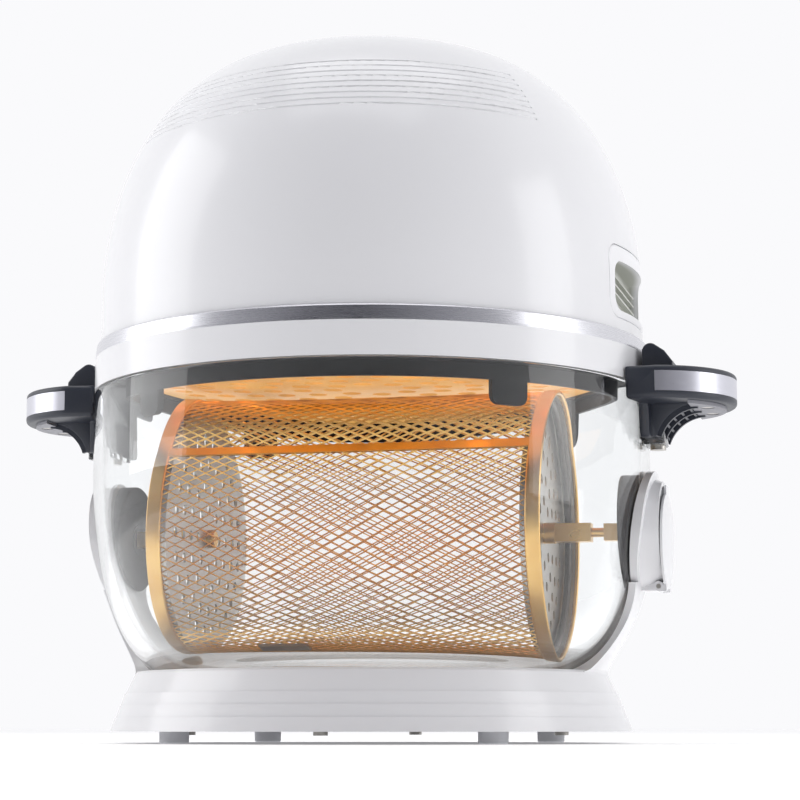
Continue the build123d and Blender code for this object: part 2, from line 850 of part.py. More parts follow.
pan_top_radius = flange_inner - 11.0
element_ring = collar_radius - 34.0
element_radius = 3.2
element_drop = 8.0
element_height = reflector_top - element_drop
element_gap_angle = 6.0
shaft_hole = 5.0


def rounded_prism(half_width, low, high, corner, x_low, x_high):
    """A rounded rectangle on the right side, pushed through along X."""
    outline = RectangleRounded(2 * half_width, high - low, corner)
    return extrude(Plane.YZ.offset(x_low) * Pos(0, (low + high) / 2) * outline, x_high - x_low)


def vent_cut(gap):
    """Opening for a side grille."""
    return rounded_prism(
        vent_half_width + gap, vent_low - gap, vent_high + gap, vent_corner, vent_back_x - 4.0, 130.0
    )


def groove(height):
    """One shallow groove round the front of the dome."""
    slope = (dome_radius_at(height + 0.5) - dome_radius_at(height - 0.5)) / 1.0
    radius = dome_radius_at(height) + 0.1 / sqrt(1 + slope * slope)
    section = Plane.XZ * Pos(radius, height) * Circle(groove_radius)
    return Rot(0, 0, -90.0 - groove_span / 2) * revolve(section, Axis.Z, groove_span)


def dome_boss(angle):
    """Screw boss inside the dome with a web to its wall."""
    boss = post(4.5, head_boss_ring, 0, head_boss_low, head_boss_low + 24.0)
    boss += block(head_boss_ring, dome_radius - 1.2, -1.5, 1.5, head_boss_low + 1.5, head_boss_low + 24.0)
    boss -= post(head_screw_radius + running_gap, head_boss_ring, 0, head_boss_low, head_boss_low + 14.0)
    return Rot(0, 0, angle) * boss


def head_dome():
    """Dome-shaped cover of the head."""
    outer = dome_space(0, trim_high)
    dome = outer - dome_space(dome_wall, trim_high - 1.0)
    boss = ring(crown_boss_inner, crown_boss_outer, crown_boss_low, crown) & outer
    dome = dome + boss
    dome -= post(panel_radius + 0.2, 0, 0, panel_base, crown + 5.0)
    for angle in around(4, 45):
        dome += dome_boss(angle)
    for solid in both_sides(vent_cut(0)):
        dome -= solid
    dome -= Pos(0, dome_radius, gland_height) * Rot(90, 0, 0) * Cylinder(gland_radius + 0.1, 20.0)
    step = (groove_high - groove_low) / (groove_count - 1)
    return dome - [groove(groove_low + i * step) for i in range(groove_count)]


def vent_grille():
    """Right side grille: flush surround, sunk pocket, louvre blades and a slot under each blade."""
    body = rounded_prism(
        vent_half_width - vent_gap,
        vent_low + vent_gap,
        vent_high - vent_gap,
        vent_corner,
        vent_back_x,
        130.0,
    )
    body &= dome_space(0, trim_high)
    pocket = rounded_prism(pocket_half_width, pocket_low, pocket_high, 6.0, pocket_back_x, 130.0)
    body -= pocket
    for i in range(louvre_count):
        z = pocket_high - louvre_pitch * (i + 1)
        blade = block(vent_back_x, dome_radius - 3.0, -60, 60, z, z + louvre_thickness)
        body += blade & pocket
        body -= block(vent_back_x, pocket_back_x, -slot_half_width, slot_half_width, z - slot_height, z)
    return body


def control_panel():
    """Crowned glass touch panel let into the crown."""
    return post(panel_radius, 0, 0, panel_base, crown + 5.0) & dome_space(0, trim_high)


def control_board():
    """Round board under the panel with its display module."""
    board = ring(0, crown_boss_inner + 4.0, crown_boss_low - 1.6, crown_boss_low)
    return board + block(-18, 18, -8, 8, crown_boss_low, crown_boss_low + 4.0)


def trim_ring():
    """Brushed metal band between dome and skirt."""
    inner = dome_radius - dome_wall
    return turned_outline(
        [
            (inner, skirt_high),
            (trim_radius + 0.6, skirt_high),
            (trim_radius + 0.6, skirt_high + 0.8),
            (trim_radius, trim_high - 0.6),
            (trim_radius - 0.6, trim_high),
            (inner, trim_high),
        ]
    )


def head_skirt():
    """Lower ring of the head: outer wall, flange over the glass and ledge for the partition."""
    inside = skirt_radius - skirt_wall
    upstand_outer = dome_radius - dome_wall - rest_gap
    upstand_inner = upstand_outer - 2.5
    skirt = ring(inside, skirt_radius, skirt_low, skirt_high)
    skirt += ring(upstand_inner, skirt_radius, skirt_high - 2.5, skirt_high)
    skirt += ring(upstand_inner, upstand_outer, skirt_high, ledge_high + 0.4)
    skirt += ring(head_boss_ring - 6.0, upstand_inner, ledge_low, ledge_high)
    skirt += ring(flange_inner, inside, flange_low, flange_high)
    for angle in around(4, 45):
        x, y = on_circle(head_boss_ring, angle)
        skirt -= post(head_screw_radius + 0.3, x, y, ledge_low, ledge_high)
    return skirt


def rim_seal():
    """Silicone seal over the rim of the glass."""
    return ring(bowl_radius - glass_wall - 3.3, skirt_radius - skirt_wall - 0.2, bowl_rim + 0.2, flange_low)


def lug_collar():
    """Black ring that hangs into the bowl, with four lugs that the head stands on when it is off."""
    inner = collar_radius - collar_wall
    collar = ring(inner, collar_radius, collar_low, flange_low)
    collar += ring(inner, collar_radius + 6.7, flange_low - 2.5, flange_low)
    collar += ring(inner - 3.0, inner, guard_low - 1.0, guard_low)
    lug = Pos(collar_radius, 0, 0) * block(-20, 20, -lug_half_width, lug_half_width, lug_low, collar_low)
    lug = fillet(lug.edges().filter_by(Axis.X).group_by(Axis.Z)[0], 4.0)
    lug &= ring(inner, collar_radius, lug_low, collar_low)
    for angle in around(4, 45):
        collar += Rot(0, 0, angle) * lug
    return collar


def heater_guard():
    """Pierced steel plate under the heater."""
    guard = ring(0, collar_radius - collar_wall - rest_gap, guard_low, guard_low + 0.8)
    holes = []
    for i in range(guard_ring_count):
        ring_radius = guard_ring_start + guard_ring_step * i
        for angle in around(8 + 6 * i):
            x, y = on_circle(ring_radius, angle)
            holes.append(post(4.2, x, y, guard_low, guard_low + 0.8))
    return guard - holes


def element_ring_solid(radius):
    """The heater's ring, left open at the rear, with a tube radius."""
    section = Plane.XZ * Pos(element_ring, element_height) * Circle(radius)
    turn = revolve(section, Axis.Z, 360.0 - 2 * element_gap_angle)
    return Rot(0, 0, 90.0 + element_gap_angle) * turn


def heating_element():
    """Tubular heater: an open ring with two legs up through the reflector."""
    element = element_ring_solid(element_radius)
    for angle in (90.0 - element_gap_angle, 90.0 + element_gap_angle):
        x, y = on_circle(element_ring, angle)
        element += post(element_radius, x, y, element_height, partition_top + 6.0)
        element += Pos(x, y, element_height) * Sphere(element_radius)
    return element


def reflector_plate():
    """Stainless pan over the heater and the fan."""
    wall = 0.8
    pan = turned_outline(
        [
            (flange_inner + 4.0, flange_high),
            (flange_inner + 4.0, flange_high + wall),
            (pan_top_radius + 4.0 + wall, flange_high + wall),
            (pan_top_radius + wall, reflector_top + wall),
            (0, reflector_top + wall),
            (0, reflector_top),
            (pan_top_radius, reflector_top),
            (pan_top_radius + 4.0, flange_high),
        ]
    )
    pan -= post(5.0, 0, 0, reflector_top - 1.0, reflector_top + 2.0)
    return pan - roof_holes(0.3)


def roof_holes(gap):
    """Holes for the heater's legs and the sensor in a plate above the heater."""
    holes = []
    for angle in (90.0 - element_gap_angle, 90.0 + element_gap_angle):
        x, y = on_circle(element_ring, angle)
        holes.append(post(element_radius + gap, x, y, reflector_top - 2.0, partition_top + 1.0))
    x, y = on_circle(sensor_ring, sensor_angle)
    holes.append(post(sensor_radius + running_gap, x, y, reflector_top - 2.0, partition_top + 1.0))
    return holes


sensor_ring = element_ring + 8.0
sensor_angle = 200.0
sensor_radius = 2.0


def temperature_sensor():
    """Probe beside the heater."""
    x, y = on_circle(sensor_ring, sensor_angle)
    return post(sensor_radius, x, y, element_height - 5.0, partition_top + 4.0)


def element_clips():
    """Brackets that hang the heater's ring from the reflector."""
    clips = []
    for angle in (30.0, 150.0, 270.0):
        clip = block(element_ring - 5, element_ring + 5, -1.5, 1.5, element_height - 4.6, reflector_top)
        clips.append(Rot(0, 0, angle) * clip - element_ring_solid(element_radius + running_gap))
    return clips


def inner_partition():
    """Steel plate that parts the hot side from the electronics."""
    radius = dome_radius - dome_wall - rest_gap - 2.5 - 0.3
    plate = ring(shaft_hole, radius, ledge_high, partition_top)
    for angle in around(4, 45):
        x, y = on_circle(head_boss_ring, angle)
        plate -= post(head_screw_radius + 0.3, x, y, ledge_high, partition_top)
    return plate - roof_holes(0.3)


def head_screws():
    """Screws that join dome, partition and skirt."""
    screws = []
    for angle in around(4, 45):
        x, y = on_circle(head_boss_ring, angle)
        shank = post(head_screw_radius, x, y, ledge_low, head_boss_low + 13.0)
        screws.append(shank + post(3.1, x, y, ledge_low - 2.2, ledge_low))
    return screws


# Fan and its motor
fan_shaft_radius = 2.5
bracket_ring = 62.0
bracket_height = 18.8
bracket_plate = 1.5
bracket_top = partition_top + bracket_height
motor_radius = 31.0
motor_height = 24.5
motor_top = bracket_top + bracket_plate + motor_height
fan_depth = 11.5
fan_radius = element_ring - 16.0
fan_high = reflector_top - 1.5
fan_low = fan_high - fan_depth
cooling_low = partition_top + 3.8
cooling_high = cooling_low + 11.0
cooling_radius = bracket_ring - 14.0


def bladed_wheel(hub_radius, radius, low, high, blades):
    """A fan wheel: a hub, a back plate on top and radial blades."""
    wheel = ring(fan_shaft_radius, hub_radius, low, high) + ring(hub_radius, radius, high - 1.0, high)
    blade = block(hub_radius - 1.0, radius - 2.0, -0.5, 0.5, low, high - 1.0)
    for angle in around(blades):
        wheel += Rot(0, 0, angle) * blade
    return wheel


def fan_rotor():
    """Hot-air fan wheel."""
    return bladed_wheel(8.0, fan_radius, fan_low, fan_high, 10)


def cooling_fan():
    """Fan wheel that cools the electronics."""
    return bladed_wheel(7.0, cooling_radius, cooling_low, cooling_high, 8)


def fan_nut():
    """Nut that holds the hot-air wheel on the shaft."""
    nut = extrude(Plane.XY.offset(fan_low - 2.5) * RegularPolygon(4.6, 6), 2.5)
    return nut - post(fan_shaft_radius, 0, 0, fan_low - 3.0, fan_low)


def motor_shaft():
    """Shaft through the motor and both fans."""
    return post(fan_shaft_radius, 0, 0, fan_low - 2.8, motor_top + 5.0)


def fan_motor():
    """Fan motor with its two bearing bosses."""
    motor = ring(0, motor_radius, bracket_top + bracket_plate, motor_top)
    motor += post(7.5, 0, 0, bracket_top, bracket_top + bracket_plate) + post(9.0, 0, 0, motor_top, motor_top + 4.0)
    return motor - post(fan_shaft_radius + running_gap, 0, 0, bracket_top - 1.0, motor_top + 5.0)


def motor_bracket():
    """Three-legged bracket that carries the motor over the partition."""
    bracket = ring(0, motor_radius, bracket_top, bracket_top + bracket_plate)
    for angle in around(3, 90):
        leg = block(0, bracket_ring + 3.5, -7, 7, bracket_top, bracket_top + bracket_plate)
        leg += post(3.5, bracket_ring, 0, partition_top, bracket_top)
        bracket += Rot(0, 0, angle) * leg
    return bracket - post(7.7, 0, 0, bracket_top - 1.0, bracket_top + 3.0)


def power_board():
    """Mains board on pillars, with relay, transformer and capacitor."""
    low = partition_top + 4.0
    front = -head_boss_ring + 9.0
    board = block(-30, 30, front, front + 30, low, low + 1.6)
    for x in (-26, 26):
        for y in (front + 4, front + 26):
            board += post(2.2, x, y, partition_top, low)
    board += block(-26, -6, front + 8, front + 24, low + 1.6, low + 17.0)
    board += block(-2, 16, front + 6, front + 24, low + 1.6, low + 15.0)
    return board + post(5.0, 23, front + 15, low + 1.6, low + 18.0)


def reed_switch():
    """Sensor that answers to the magnet in the right handle."""
    outer = skirt_radius - skirt_wall - 0.3
    return block(outer - 4.0, outer - 0.2, -6, 6, flange_high, flange_high + 7.5)


def cord_gland():
    """Bush at the rear of the dome where the mains lead enters."""
    back = gland_outer_y - gland_length
    gland = rod_y(gland_radius, back, gland_outer_y) + rod_y(9.5, dome_radius + 0.1, gland_outer_y)
    inside = dome_radius - dome_wall
    gland += rod_y(9.0, inside - 3.9, inside - 0.9)
    return gland - rod_y(gland_bore, back - 2.0, gland_outer_y + 2.0)


def rod_y(radius, y_low, y_high):
    """A round bar along Y at the height of the gland."""
    middle = Pos(0, (y_low + y_high) / 2, gland_height) * Rot(90, 0, 0)
    return middle * Cylinder(radius, y_high - y_low)


def as_compound(solids):
    """Several solids as one node."""
    flat = []
    for solid in solids:
        flat += solid.solids()
    return Compound(flat)


def main():
    drive = drive_arm()
    idler = idler_arm()
    upper = handle_upper()
    lower = handle_lower()
    grille = vent_grille()
    left = Plane.YZ
    nodes = {
        "base_shell": base_shell() - drive - idler,
        "base_cover": base_cover(),
        "base_feet": as_compound(base_feet()),
        "base_screws": as_compound(base_screws()),
        "bowl_seat": bowl_seat(),
        "battery_pack": battery_pack(),
        "driver_board": driver_board(),
        "drive_arm": drive,
        "idler_arm": idler,
        "keeper_magnet": keeper_magnet(),
        "drive_motor": drive_motor(),
        "drive_rotor": drive_rotor(),
        "end_cap": end_cap(),
        "cap_pin": cap_pin(),
        "glass_bowl": glass_bowl(),
        "handle_upper_right": upper - interlock_pocket(),
        "handle_upper_left": mirror(upper, about=left),
        "handle_lower_right": lower,
        "handle_lower_left": mirror(lower, about=left),
        "handle_inlays": as_compound(both_sides(inlay_band())),
        "handle_panels": as_compound(both_sides(handle_panel())),
        "handle_screws": as_compound(handle_screws()),
        "ear_screws": as_compound(ear_screws()),
        "interlock_magnet": interlock_magnet(),
        "hub_cups": as_compound(both_sides(hub_cup())),
        "hub_rotors": as_compound(both_sides(hub_rotor())),
        "basket_mesh": basket_mesh(),
        "basket_rims": as_compound(basket_rims()),
        "end_discs": as_compound(both_sides(end_disc())),
        "seam_strip": seam_strip(),
        "basket_latch": basket_latch(),
        "stub_shafts": as_compound(both_sides(stub_shaft())),
        "shaft_nuts": as_compound(shaft_nuts()),
        "head_dome": head_dome(),
        "vent_grille_right": grille,
        "vent_grille_left": mirror(grille, about=left),
        "control_panel": control_panel(),
        "control_board": control_board(),
        "trim_ring": trim_ring(),
        "head_skirt": head_skirt(),
        "rim_seal": rim_seal(),
        "lug_collar": lug_collar(),
        "heater_guard": heater_guard(),
        "reflector_plate": reflector_plate(),
        "heating_element": heating_element(),
        "element_clips": as_compound(element_clips()),
        "temperature_sensor": temperature_sensor(),
        "inner_partition": inner_partition(),
        "head_screws": as_compound(head_screws()),
        "motor_bracket": motor_bracket(),
        "fan_motor": fan_motor(),
        "motor_shaft": motor_shaft(),
        "fan_rotor": fan_rotor(),
        "cooling_fan": cooling_fan(),
        "fan_nut": fan_nut(),
        "power_board": power_board(),
        "reed_switch": reed_switch(),
        "cord_gland": cord_gland(),
    }
    os.makedirs("parts", exist_ok=True)
    for name, solid in nodes.items():
        export_step(solid, os.path.join("parts", name + ".step"))


def interlock_pocket():
    """Pocket for the magnet in the right tab."""
    return rod(3.1, wall_inner - 2.0, wall_inner + 2.0, magnet_height)


main()
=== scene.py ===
import json
import math

import bpy
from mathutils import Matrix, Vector


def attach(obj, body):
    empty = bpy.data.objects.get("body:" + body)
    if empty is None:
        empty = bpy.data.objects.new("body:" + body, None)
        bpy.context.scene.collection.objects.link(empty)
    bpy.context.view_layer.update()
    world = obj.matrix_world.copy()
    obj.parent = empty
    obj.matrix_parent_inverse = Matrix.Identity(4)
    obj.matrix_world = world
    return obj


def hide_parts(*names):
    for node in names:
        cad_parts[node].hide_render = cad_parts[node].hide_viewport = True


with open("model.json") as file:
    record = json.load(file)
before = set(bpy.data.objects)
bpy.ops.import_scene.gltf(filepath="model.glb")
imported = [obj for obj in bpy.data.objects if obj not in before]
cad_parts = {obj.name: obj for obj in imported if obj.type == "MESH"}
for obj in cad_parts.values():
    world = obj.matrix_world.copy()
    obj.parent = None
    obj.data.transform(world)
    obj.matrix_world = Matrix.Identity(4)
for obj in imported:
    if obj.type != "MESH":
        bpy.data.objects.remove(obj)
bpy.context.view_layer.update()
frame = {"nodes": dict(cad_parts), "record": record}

# Glass air fryer. One unit of the scene is a metre; sizes below are in millimetres and MM turns them.
MM = 0.001
nodes = frame["nodes"]

# Sizes shared with the solids
DRUM_AXIS = 90.0
DRUM_RADIUS = 57.0
DRUM_HALF = 84.0
RIM_WIDTH = 5.0
DOME_RADIUS = 120.3
DOME_SHOULDER = 191.7
DOME_TOP = 308.1
GLASS_RADIUS = 122.8
GLASS_SHOULDER = 118.0
GLASS_BOTTOM = 22.0
GLASS_RIM = 152.0
GRIP_START = 131.0
GRIP_TIP = 161.5
GRIP_HALF = 38.0
GRIP_LOW = 143.0
GRIP_HIGH = 157.0
ROOT_INNER = 123.3
ROOT_OUTER = 127.5
ROOT_LOW = 129.0
TAB_HIGH = 169.0
VENT_HALF = 40.7
VENT_LOW = 178.3
VENT_HIGH = 209.7
VENT_BACK = 104.0

# Above its shoulder the dome is where its share of the radius, to the power across, and its share of the
# rise, to the power up, make one together
DOME_ACROSS = 3
DOME_UP = 2.03


def linear(hex_code):
    """Linear RGBA of an sRGB hex colour."""
    channels = [int(hex_code[i : i + 2], 16) / 255 for i in (1, 3, 5)]
    return [c / 12.92 if c <= 0.04045 else ((c + 0.055) / 1.055) ** 2.4 for c in channels] + [1.0]


def node(tree, kind, settings=None, inputs=None):
    """Adds a node with its settings, and its inputs as values or as links from other sockets."""
    made = tree.nodes.new(kind)
    for name, value in (settings or {}).items():
        setattr(made, name, value)
    for name, value in (inputs or {}).items():
        if isinstance(value, bpy.types.NodeSocket):
            tree.links.new(value, made.inputs[name])
        else:
            made.inputs[name].default_value = value
    return made


def surface(name, base, roughness, **values):
    """A new material with one Principled shader, as (material, tree, shader)."""
    made = bpy.data.materials.new(name)
    made.use_nodes = True
    tree = made.node_tree
    shader = tree.nodes["Principled BSDF"]
    shader.inputs["Base Color"].default_value = linear(base)
    shader.inputs["Roughness"].default_value = roughness
    for key, value in values.items():
        shader.inputs[key.replace("_", " ")].default_value = value
    return made, tree, shader


def noise_of(tree, coordinates, stretch, scale, detail):
    """Noise on stretched coordinates."""
    stretched = node(tree, "ShaderNodeMapping", inputs={"Vector": coordinates, "Scale": stretch})
    return node(
        tree,
        "ShaderNodeTexNoise",
        inputs={"Vector": stretched.outputs["Vector"], "Scale": scale, "Detail": detail},
    )


def bumped(tree, shader, noise, depth_mm, strength, rough):
    """Bumps a surface with noise, and lets the same noise vary its roughness between two values."""
    bump = node(
        tree,
        "ShaderNodeBump",
        inputs={"Height": noise.outputs["Fac"], "Distance": depth_mm * MM, "Strength": strength},
    )
    tree.links.new(bump.outputs["Normal"], shader.inputs["Normal"])
    spread = node(
        tree,
        "ShaderNodeMapRange",
        inputs={"Value": noise.outputs["Fac"], "To Min": rough[0], "To Max": rough[1]},
    )
    tree.links.new(spread.outputs["Result"], shader.inputs["Roughness"])


GRAIN_DETAIL = 3.0
GRAIN_STRENGTH = 0.6


def grain(tree, shader, size_mm, depth_mm, rough, stretch=(1.0, 1.0, 1.0)):
    """Gives a surface an uneven grain of one size, in its height and its roughness."""
    coordinates = node(tree, "ShaderNodeTexCoord").outputs["Object"]
    noise = noise_of(tree, coordinates, stretch, 1 / (size_mm * MM), GRAIN_DETAIL)
    bumped(tree, shader, noise, depth_mm, GRAIN_STRENGTH, rough)
    return noise


def colour_between(tree, factor, first, second):
    """Socket of a colour that a factor moves from one hex colour to another."""
    mix = node(
        tree,
        "ShaderNodeMix",
        {"data_type": "RGBA"},
        {"Factor": factor, "A": linear(first), "B": linear(second)},
    )
    return mix.outputs["Result"]


def ring_coordinates(tree):
    """Coordinates that run along the arc, in radians, and the height, in metres, of a ring about Z."""
    coordinates = node(tree, "ShaderNodeTexCoord").outputs["Object"]
    split = node(tree, "ShaderNodeSeparateXYZ", inputs={"Vector": coordinates})
    angle = node(
        tree,
        "ShaderNodeMath",
        {"operation": "ARCTAN2"},
        {0: split.outputs["Y"], 1: split.outputs["X"]},
    )
    ring = node(
        tree,
        "ShaderNodeCombineXYZ",
        inputs={"X": angle.outputs[0], "Z": split.outputs["Z"]},
    )
    return ring.outputs[0]


def radius_coordinate(tree):
    """Socket of the distance from the upright axis, in metres."""
    coordinates = node(tree, "ShaderNodeTexCoord").outputs["Object"]
    flat = node(
        tree,
        "ShaderNodeVectorMath",
        {"operation": "MULTIPLY"},
        {0: coordinates, 1: (1.0, 1.0, 0.0)},
    )
    reach = node(tree, "ShaderNodeVectorMath", {"operation": "LENGTH"}, {0: flat.outputs[0]})
    return reach.outputs["Value"]


# White ABS, injection moulded and polished: glossy, with the faint swell of a moulded skin
white_abs, tree, shader = surface(
    "white_abs", "#EEEEF0", 0.24, IOR=1.53, Coat_Weight=0.25, Coat_Roughness=0.08
)
grain(tree, shader, 9.0, 0.02, (0.2, 0.28))

# Grey ABS, spark-eroded mould: a fine even matt grain of about 0.6 mm
grey_abs, tree, shader = surface("grey_abs", "#8F8F96", 0.5, IOR=1.53)
grain(tree, shader, 0.6, 0.03, (0.42, 0.58))

# Glass-filled nylon, dark blue-grey, spark-eroded: soft sheen with a fine grain
nylon, tree, shader = surface("blue_grey_nylon", "#2C303B", 0.42, IOR=1.53)
grain(tree, shader, 0.7, 0.035, (0.34, 0.5))

# Black PPS heat-proof plastic: near black, satin
black_pps, tree, shader = surface("black_pps", "#141518", 0.5, IOR=1.45, Specular_IOR_Level=0.3)
grain(tree, shader, 0.8, 0.03, (0.44, 0.58))

# Turned and brushed aluminium ring: long fine scratches along the ring. Real ones are about 0.15 mm
# apart, and these are drawn at 0.4 mm so that they show.
SCRATCH_PITCH = 0.4
SCRATCHES_PER_RADIAN = 6.0
brushed_ring, tree, shader = surface("brushed_aluminium", "#D6D6DB", 0.26, Metallic=1.0)
scratch_stretch = (SCRATCHES_PER_RADIAN, 1.0, 1 / (SCRATCH_PITCH * MM))
scratches = noise_of(tree, ring_coordinates(tree), scratch_stretch, 1.0, 4.0)
bumped(tree, shader, scratches, 0.02, 0.4, (0.18, 0.36))

# Plated bright trim on the handles: satin chrome on plastic
satin_chrome, tree, shader = surface("satin_chrome", "#D4D4DC", 0.3, Metallic=1.0)
grain(tree, shader, 0.5, 0.008, (0.24, 0.38), stretch=(0.08, 0.08, 1.0))

# Borosilicate glass, pressed and fire polished: clear. Light from the lamps passes straight through it.
glass, tree, shader = surface("borosilicate_glass", "#FCFDFD", 0.0, IOR=1.47, Transmission_Weight=1.0)
ray = node(tree, "ShaderNodeLightPath")
clear = node(tree, "ShaderNodeBsdfTransparent", inputs={"Color": (0.95, 0.955, 0.955, 1.0)})
mixed = node(
    tree,
    "ShaderNodeMixShader",
    inputs={0: ray.outputs["Is Shadow Ray"], 1: shader.outputs["BSDF"], 2: clear.outputs["BSDF"]},
)
tree.links.new(mixed.outputs["Shader"], tree.nodes["Material Output"].inputs["Surface"])

# Stainless steel, expanded and heat tinted to straw and gold by use
tinted_steel, tree, shader = surface("heat_tinted_steel", "#E2B36A", 0.3, Metallic=1.0)
noise = grain(tree, shader, 14.0, 0.0, (0.22, 0.4))
tint = colour_between(tree, noise.outputs["Fac"], "#FFD98A", "#E3AA5A")
tree.links.new(tint, shader.inputs["Base Color"])

# Stainless steel browned almost black where the drum's ends roll over
dark_steel, tree, shader = surface("browned_steel", "#4A4540", 0.32, Metallic=1.0)
grain(tree, shader, 1.2, 0.01, (0.24, 0.42))

# Stainless sheet, rolled: grey, with faint rolling lines along X, 0.8 mm apart
sheet_steel, tree, shader = surface("rolled_stainless", "#B9B6B0", 0.3, Metallic=1.0)
grain(tree, shader, 0.8, 0.01, (0.24, 0.4), stretch=(0.05, 1.0, 1.0))

# Brass nut, turned and lacquered
brass, tree, shader = surface("brass", "#D9AE5C", 0.22, Metallic=1.0)
grain(tree, shader, 1.0, 0.01, (0.16, 0.3))

# Silicone rubber of seals: pale, soft and matt
silicone, tree, shader = surface("silicone_rubber", "#B9BBC2", 0.6, IOR=1.41)
grain(tree, shader, 0.9, 0.03, (0.54, 0.68))

# Silicone rubber of the feet, paler than that of the seals
foot_rubber, tree, shader = surface("pale_silicone", "#F2F3F6", 0.6, IOR=1.41)
grain(tree, shader, 0.9, 0.03, (0.54, 0.68))

# Incoloy heater tube, oxidised dark, with the orange glow of a working element
incoloy, tree, shader = surface(
    "incoloy_tube",
    "#6A4A3A",
    0.55,
    Metallic=0.6,
    Emission_Color=linear("#FFA848"),
    Emission_Strength=3.0,
)
grain(tree, shader, 1.2, 0.03, (0.45, 0.65))

# Steel guard under the heater, straw coloured by heat, with a painted golden glow: emission that stands
# in for the light of the elements behind its holes. The reflector plate wears it too.
painted_glow_steel, tree, shader = surface(
    "guard_steel_painted_glow", "#A8733A", 0.45, Metallic=0.7, Emission_Strength=1.1
)
noise = grain(tree, shader, 28.0, 0.05, (0.36, 0.55))
# Painted glow: the emission colour goes from brown to gold with the noise
painted_glow = colour_between(tree, noise.outputs["Fac"], "#7A5420", "#E2AE5C")
tree.links.new(painted_glow, shader.inputs["Emission Color"])

# White light-emitting bars of the display
lit_digits, tree, shader = surface(
    "lit_display_bars", "#DDE8F0", 0.4, Emission_Color=linear("#DDF0FF"), Emission_Strength=1.0
)

# Green solder mask on a circuit board
solder_mask, tree, shader = surface("solder_mask", "#1F5A3C", 0.35)
grain(tree, shader, 2.0, 0.02, (0.3, 0.45))

# Zinc-plated motor can and fasteners
zinc, tree, shader = surface("zinc_plate", "#9C9EA3", 0.34, Metallic=1.0)
grain(tree, shader, 1.5, 0.01, (0.26, 0.42))

# Shrink film over a battery pack
film, tree, shader = surface("shrink_film", "#3C6FA8", 0.3)
grain(tree, shader, 3.0, 0.03, (0.22, 0.4))

# White ABS grille, with painted shade: greenish grey where its pocket is sunk nearer the axis
SHADE_INNER = 116.5
SHADE_OUTER = 119.0
grille_abs, tree, shader = surface("grille_abs", "#F3F3F5", 0.3, IOR=1.53)
sunk = node(
    tree,
    "ShaderNodeMapRange",
    inputs={
        "Value": radius_coordinate(tree),
        "From Min": SHADE_INNER * MM,
        "From Max": SHADE_OUTER * MM,
    },
)
# Painted shade: the colour goes from white to greenish grey towards the pocket's back
painted_shade = colour_between(tree, sunk.outputs["Result"], "#BFC1B8", "#F3F3F5")
tree.links.new(painted_shade, shader.inputs["Base Color"])

# Material of each of the record's slots
finish = {
    "white_shell": white_abs,
    "clear_glass": glass,
    "blue_grey_plastic": nylon,
    "bright_metal": brushed_ring,
    "grey_plastic": grey_abs,
    "black_plastic": black_pps,
    "steel": sheet_steel,
    "warm_steel": tinted_steel,
    "brass": brass,
    "rubber_grey": silicone,
    "silicone": silicone,
    "magnet": zinc,
    "board_green": solder_mask,
    "battery_wrap": film,
    "motor_steel": zinc,
    "element_metal": incoloy,
    "panel_glass": white_abs,
    "grille_grey": grille_abs,
}
slot_of = {part["node"]: part["material_slot"] for part in frame["record"]["subparts"]}


def dress(piece, material):
    """Gives a piece one material."""
    piece.data.materials.clear()
    piece.data.materials.append(material)


for name, part in nodes.items():
    dress(part, finish[slot_of[name]])
dress(nodes["handle_inlays"], satin_chrome)
dress(nodes["heater_guard"], painted_glow_steel)
dress(nodes["reflector_plate"], painted_glow_steel)
dress(nodes["stub_shafts"], tinted_steel)
dress(nodes["base_feet"], foot_rubber)

# Clean-up distances, in metres, and the shading angle and the fineness of turned shapes
WELD_DISTANCE = 0.00001
SLIVER_WIDTH = 0.00002
SMOOTH_ANGLE = 35
FINE_STEPS = 256
CORNER_STEPS = 8


def activate(piece):
    """Selects one piece alone and makes it the active one."""
    bpy.ops.object.select_all(action="DESELECT")
    piece.select_set(True)
    bpy.context.view_layer.objects.active = piece


def settle(piece):
    """Applies a piece's place, turn and size, so that its object sits at the origin."""
    activate(piece)
    bpy.ops.object.transform_apply(location=True, rotation=True, scale=True)
    return piece


def apply_all(piece):
    """Applies a piece's modifiers in order."""
    activate(piece)
    for modifier in list(piece.modifiers):
        bpy.ops.object.modifier_apply(modifier=modifier.name)
    return piece


def smooth(piece, angle=SMOOTH_ANGLE):
    """Shades a piece smooth, but for the edges that turn by more than an angle."""
    activate(piece)
    bpy.ops.object.shade_smooth_by_angle(angle=math.radians(angle))
    return piece


def face_outward():
    """Turns the faces of the piece in edit mode outward."""
    bpy.ops.mesh.select_all(action="SELECT")
    bpy.ops.mesh.normals_make_consistent(inside=False)


def named(name):
    """Names the piece that was just added."""
    piece = bpy.context.object
    piece.name = name
    piece.data.name = name
    return piece


def added(name, points, edges, faces):
    """A new piece from points in metres, as the active one."""
    mesh = bpy.data.meshes.new(name)
    mesh.from_pydata(points, edges, faces)
    piece = bpy.data.objects.new(name, mesh)
    bpy.context.collection.objects.link(piece)
    activate(piece)
    return piece


def turned(name, outline):
    """A piece spun about Z from a closed outline of (radius, height) points in millimetres."""
    count = len(outline)
    closed = [(i, (i + 1) % count) for i in range(count)]
    piece = added(name, [(r * MM, 0, z * MM) for r, z in outline], closed, [])
    bpy.ops.object.mode_set(mode="EDIT")
    bpy.ops.mesh.select_all(action="SELECT")
    bpy.ops.mesh.spin(steps=FINE_STEPS, angle=2 * math.pi, center=(0, 0, 0), axis=(0, 0, 1))
    bpy.ops.mesh.select_all(action="SELECT")
    bpy.ops.mesh.remove_doubles(threshold=WELD_DISTANCE)
    bpy.ops.mesh.dissolve_degenerate()
    bpy.ops.mesh.delete_loose()
    face_outward()
    bpy.ops.object.mode_set(mode="OBJECT")
    return smooth(piece)


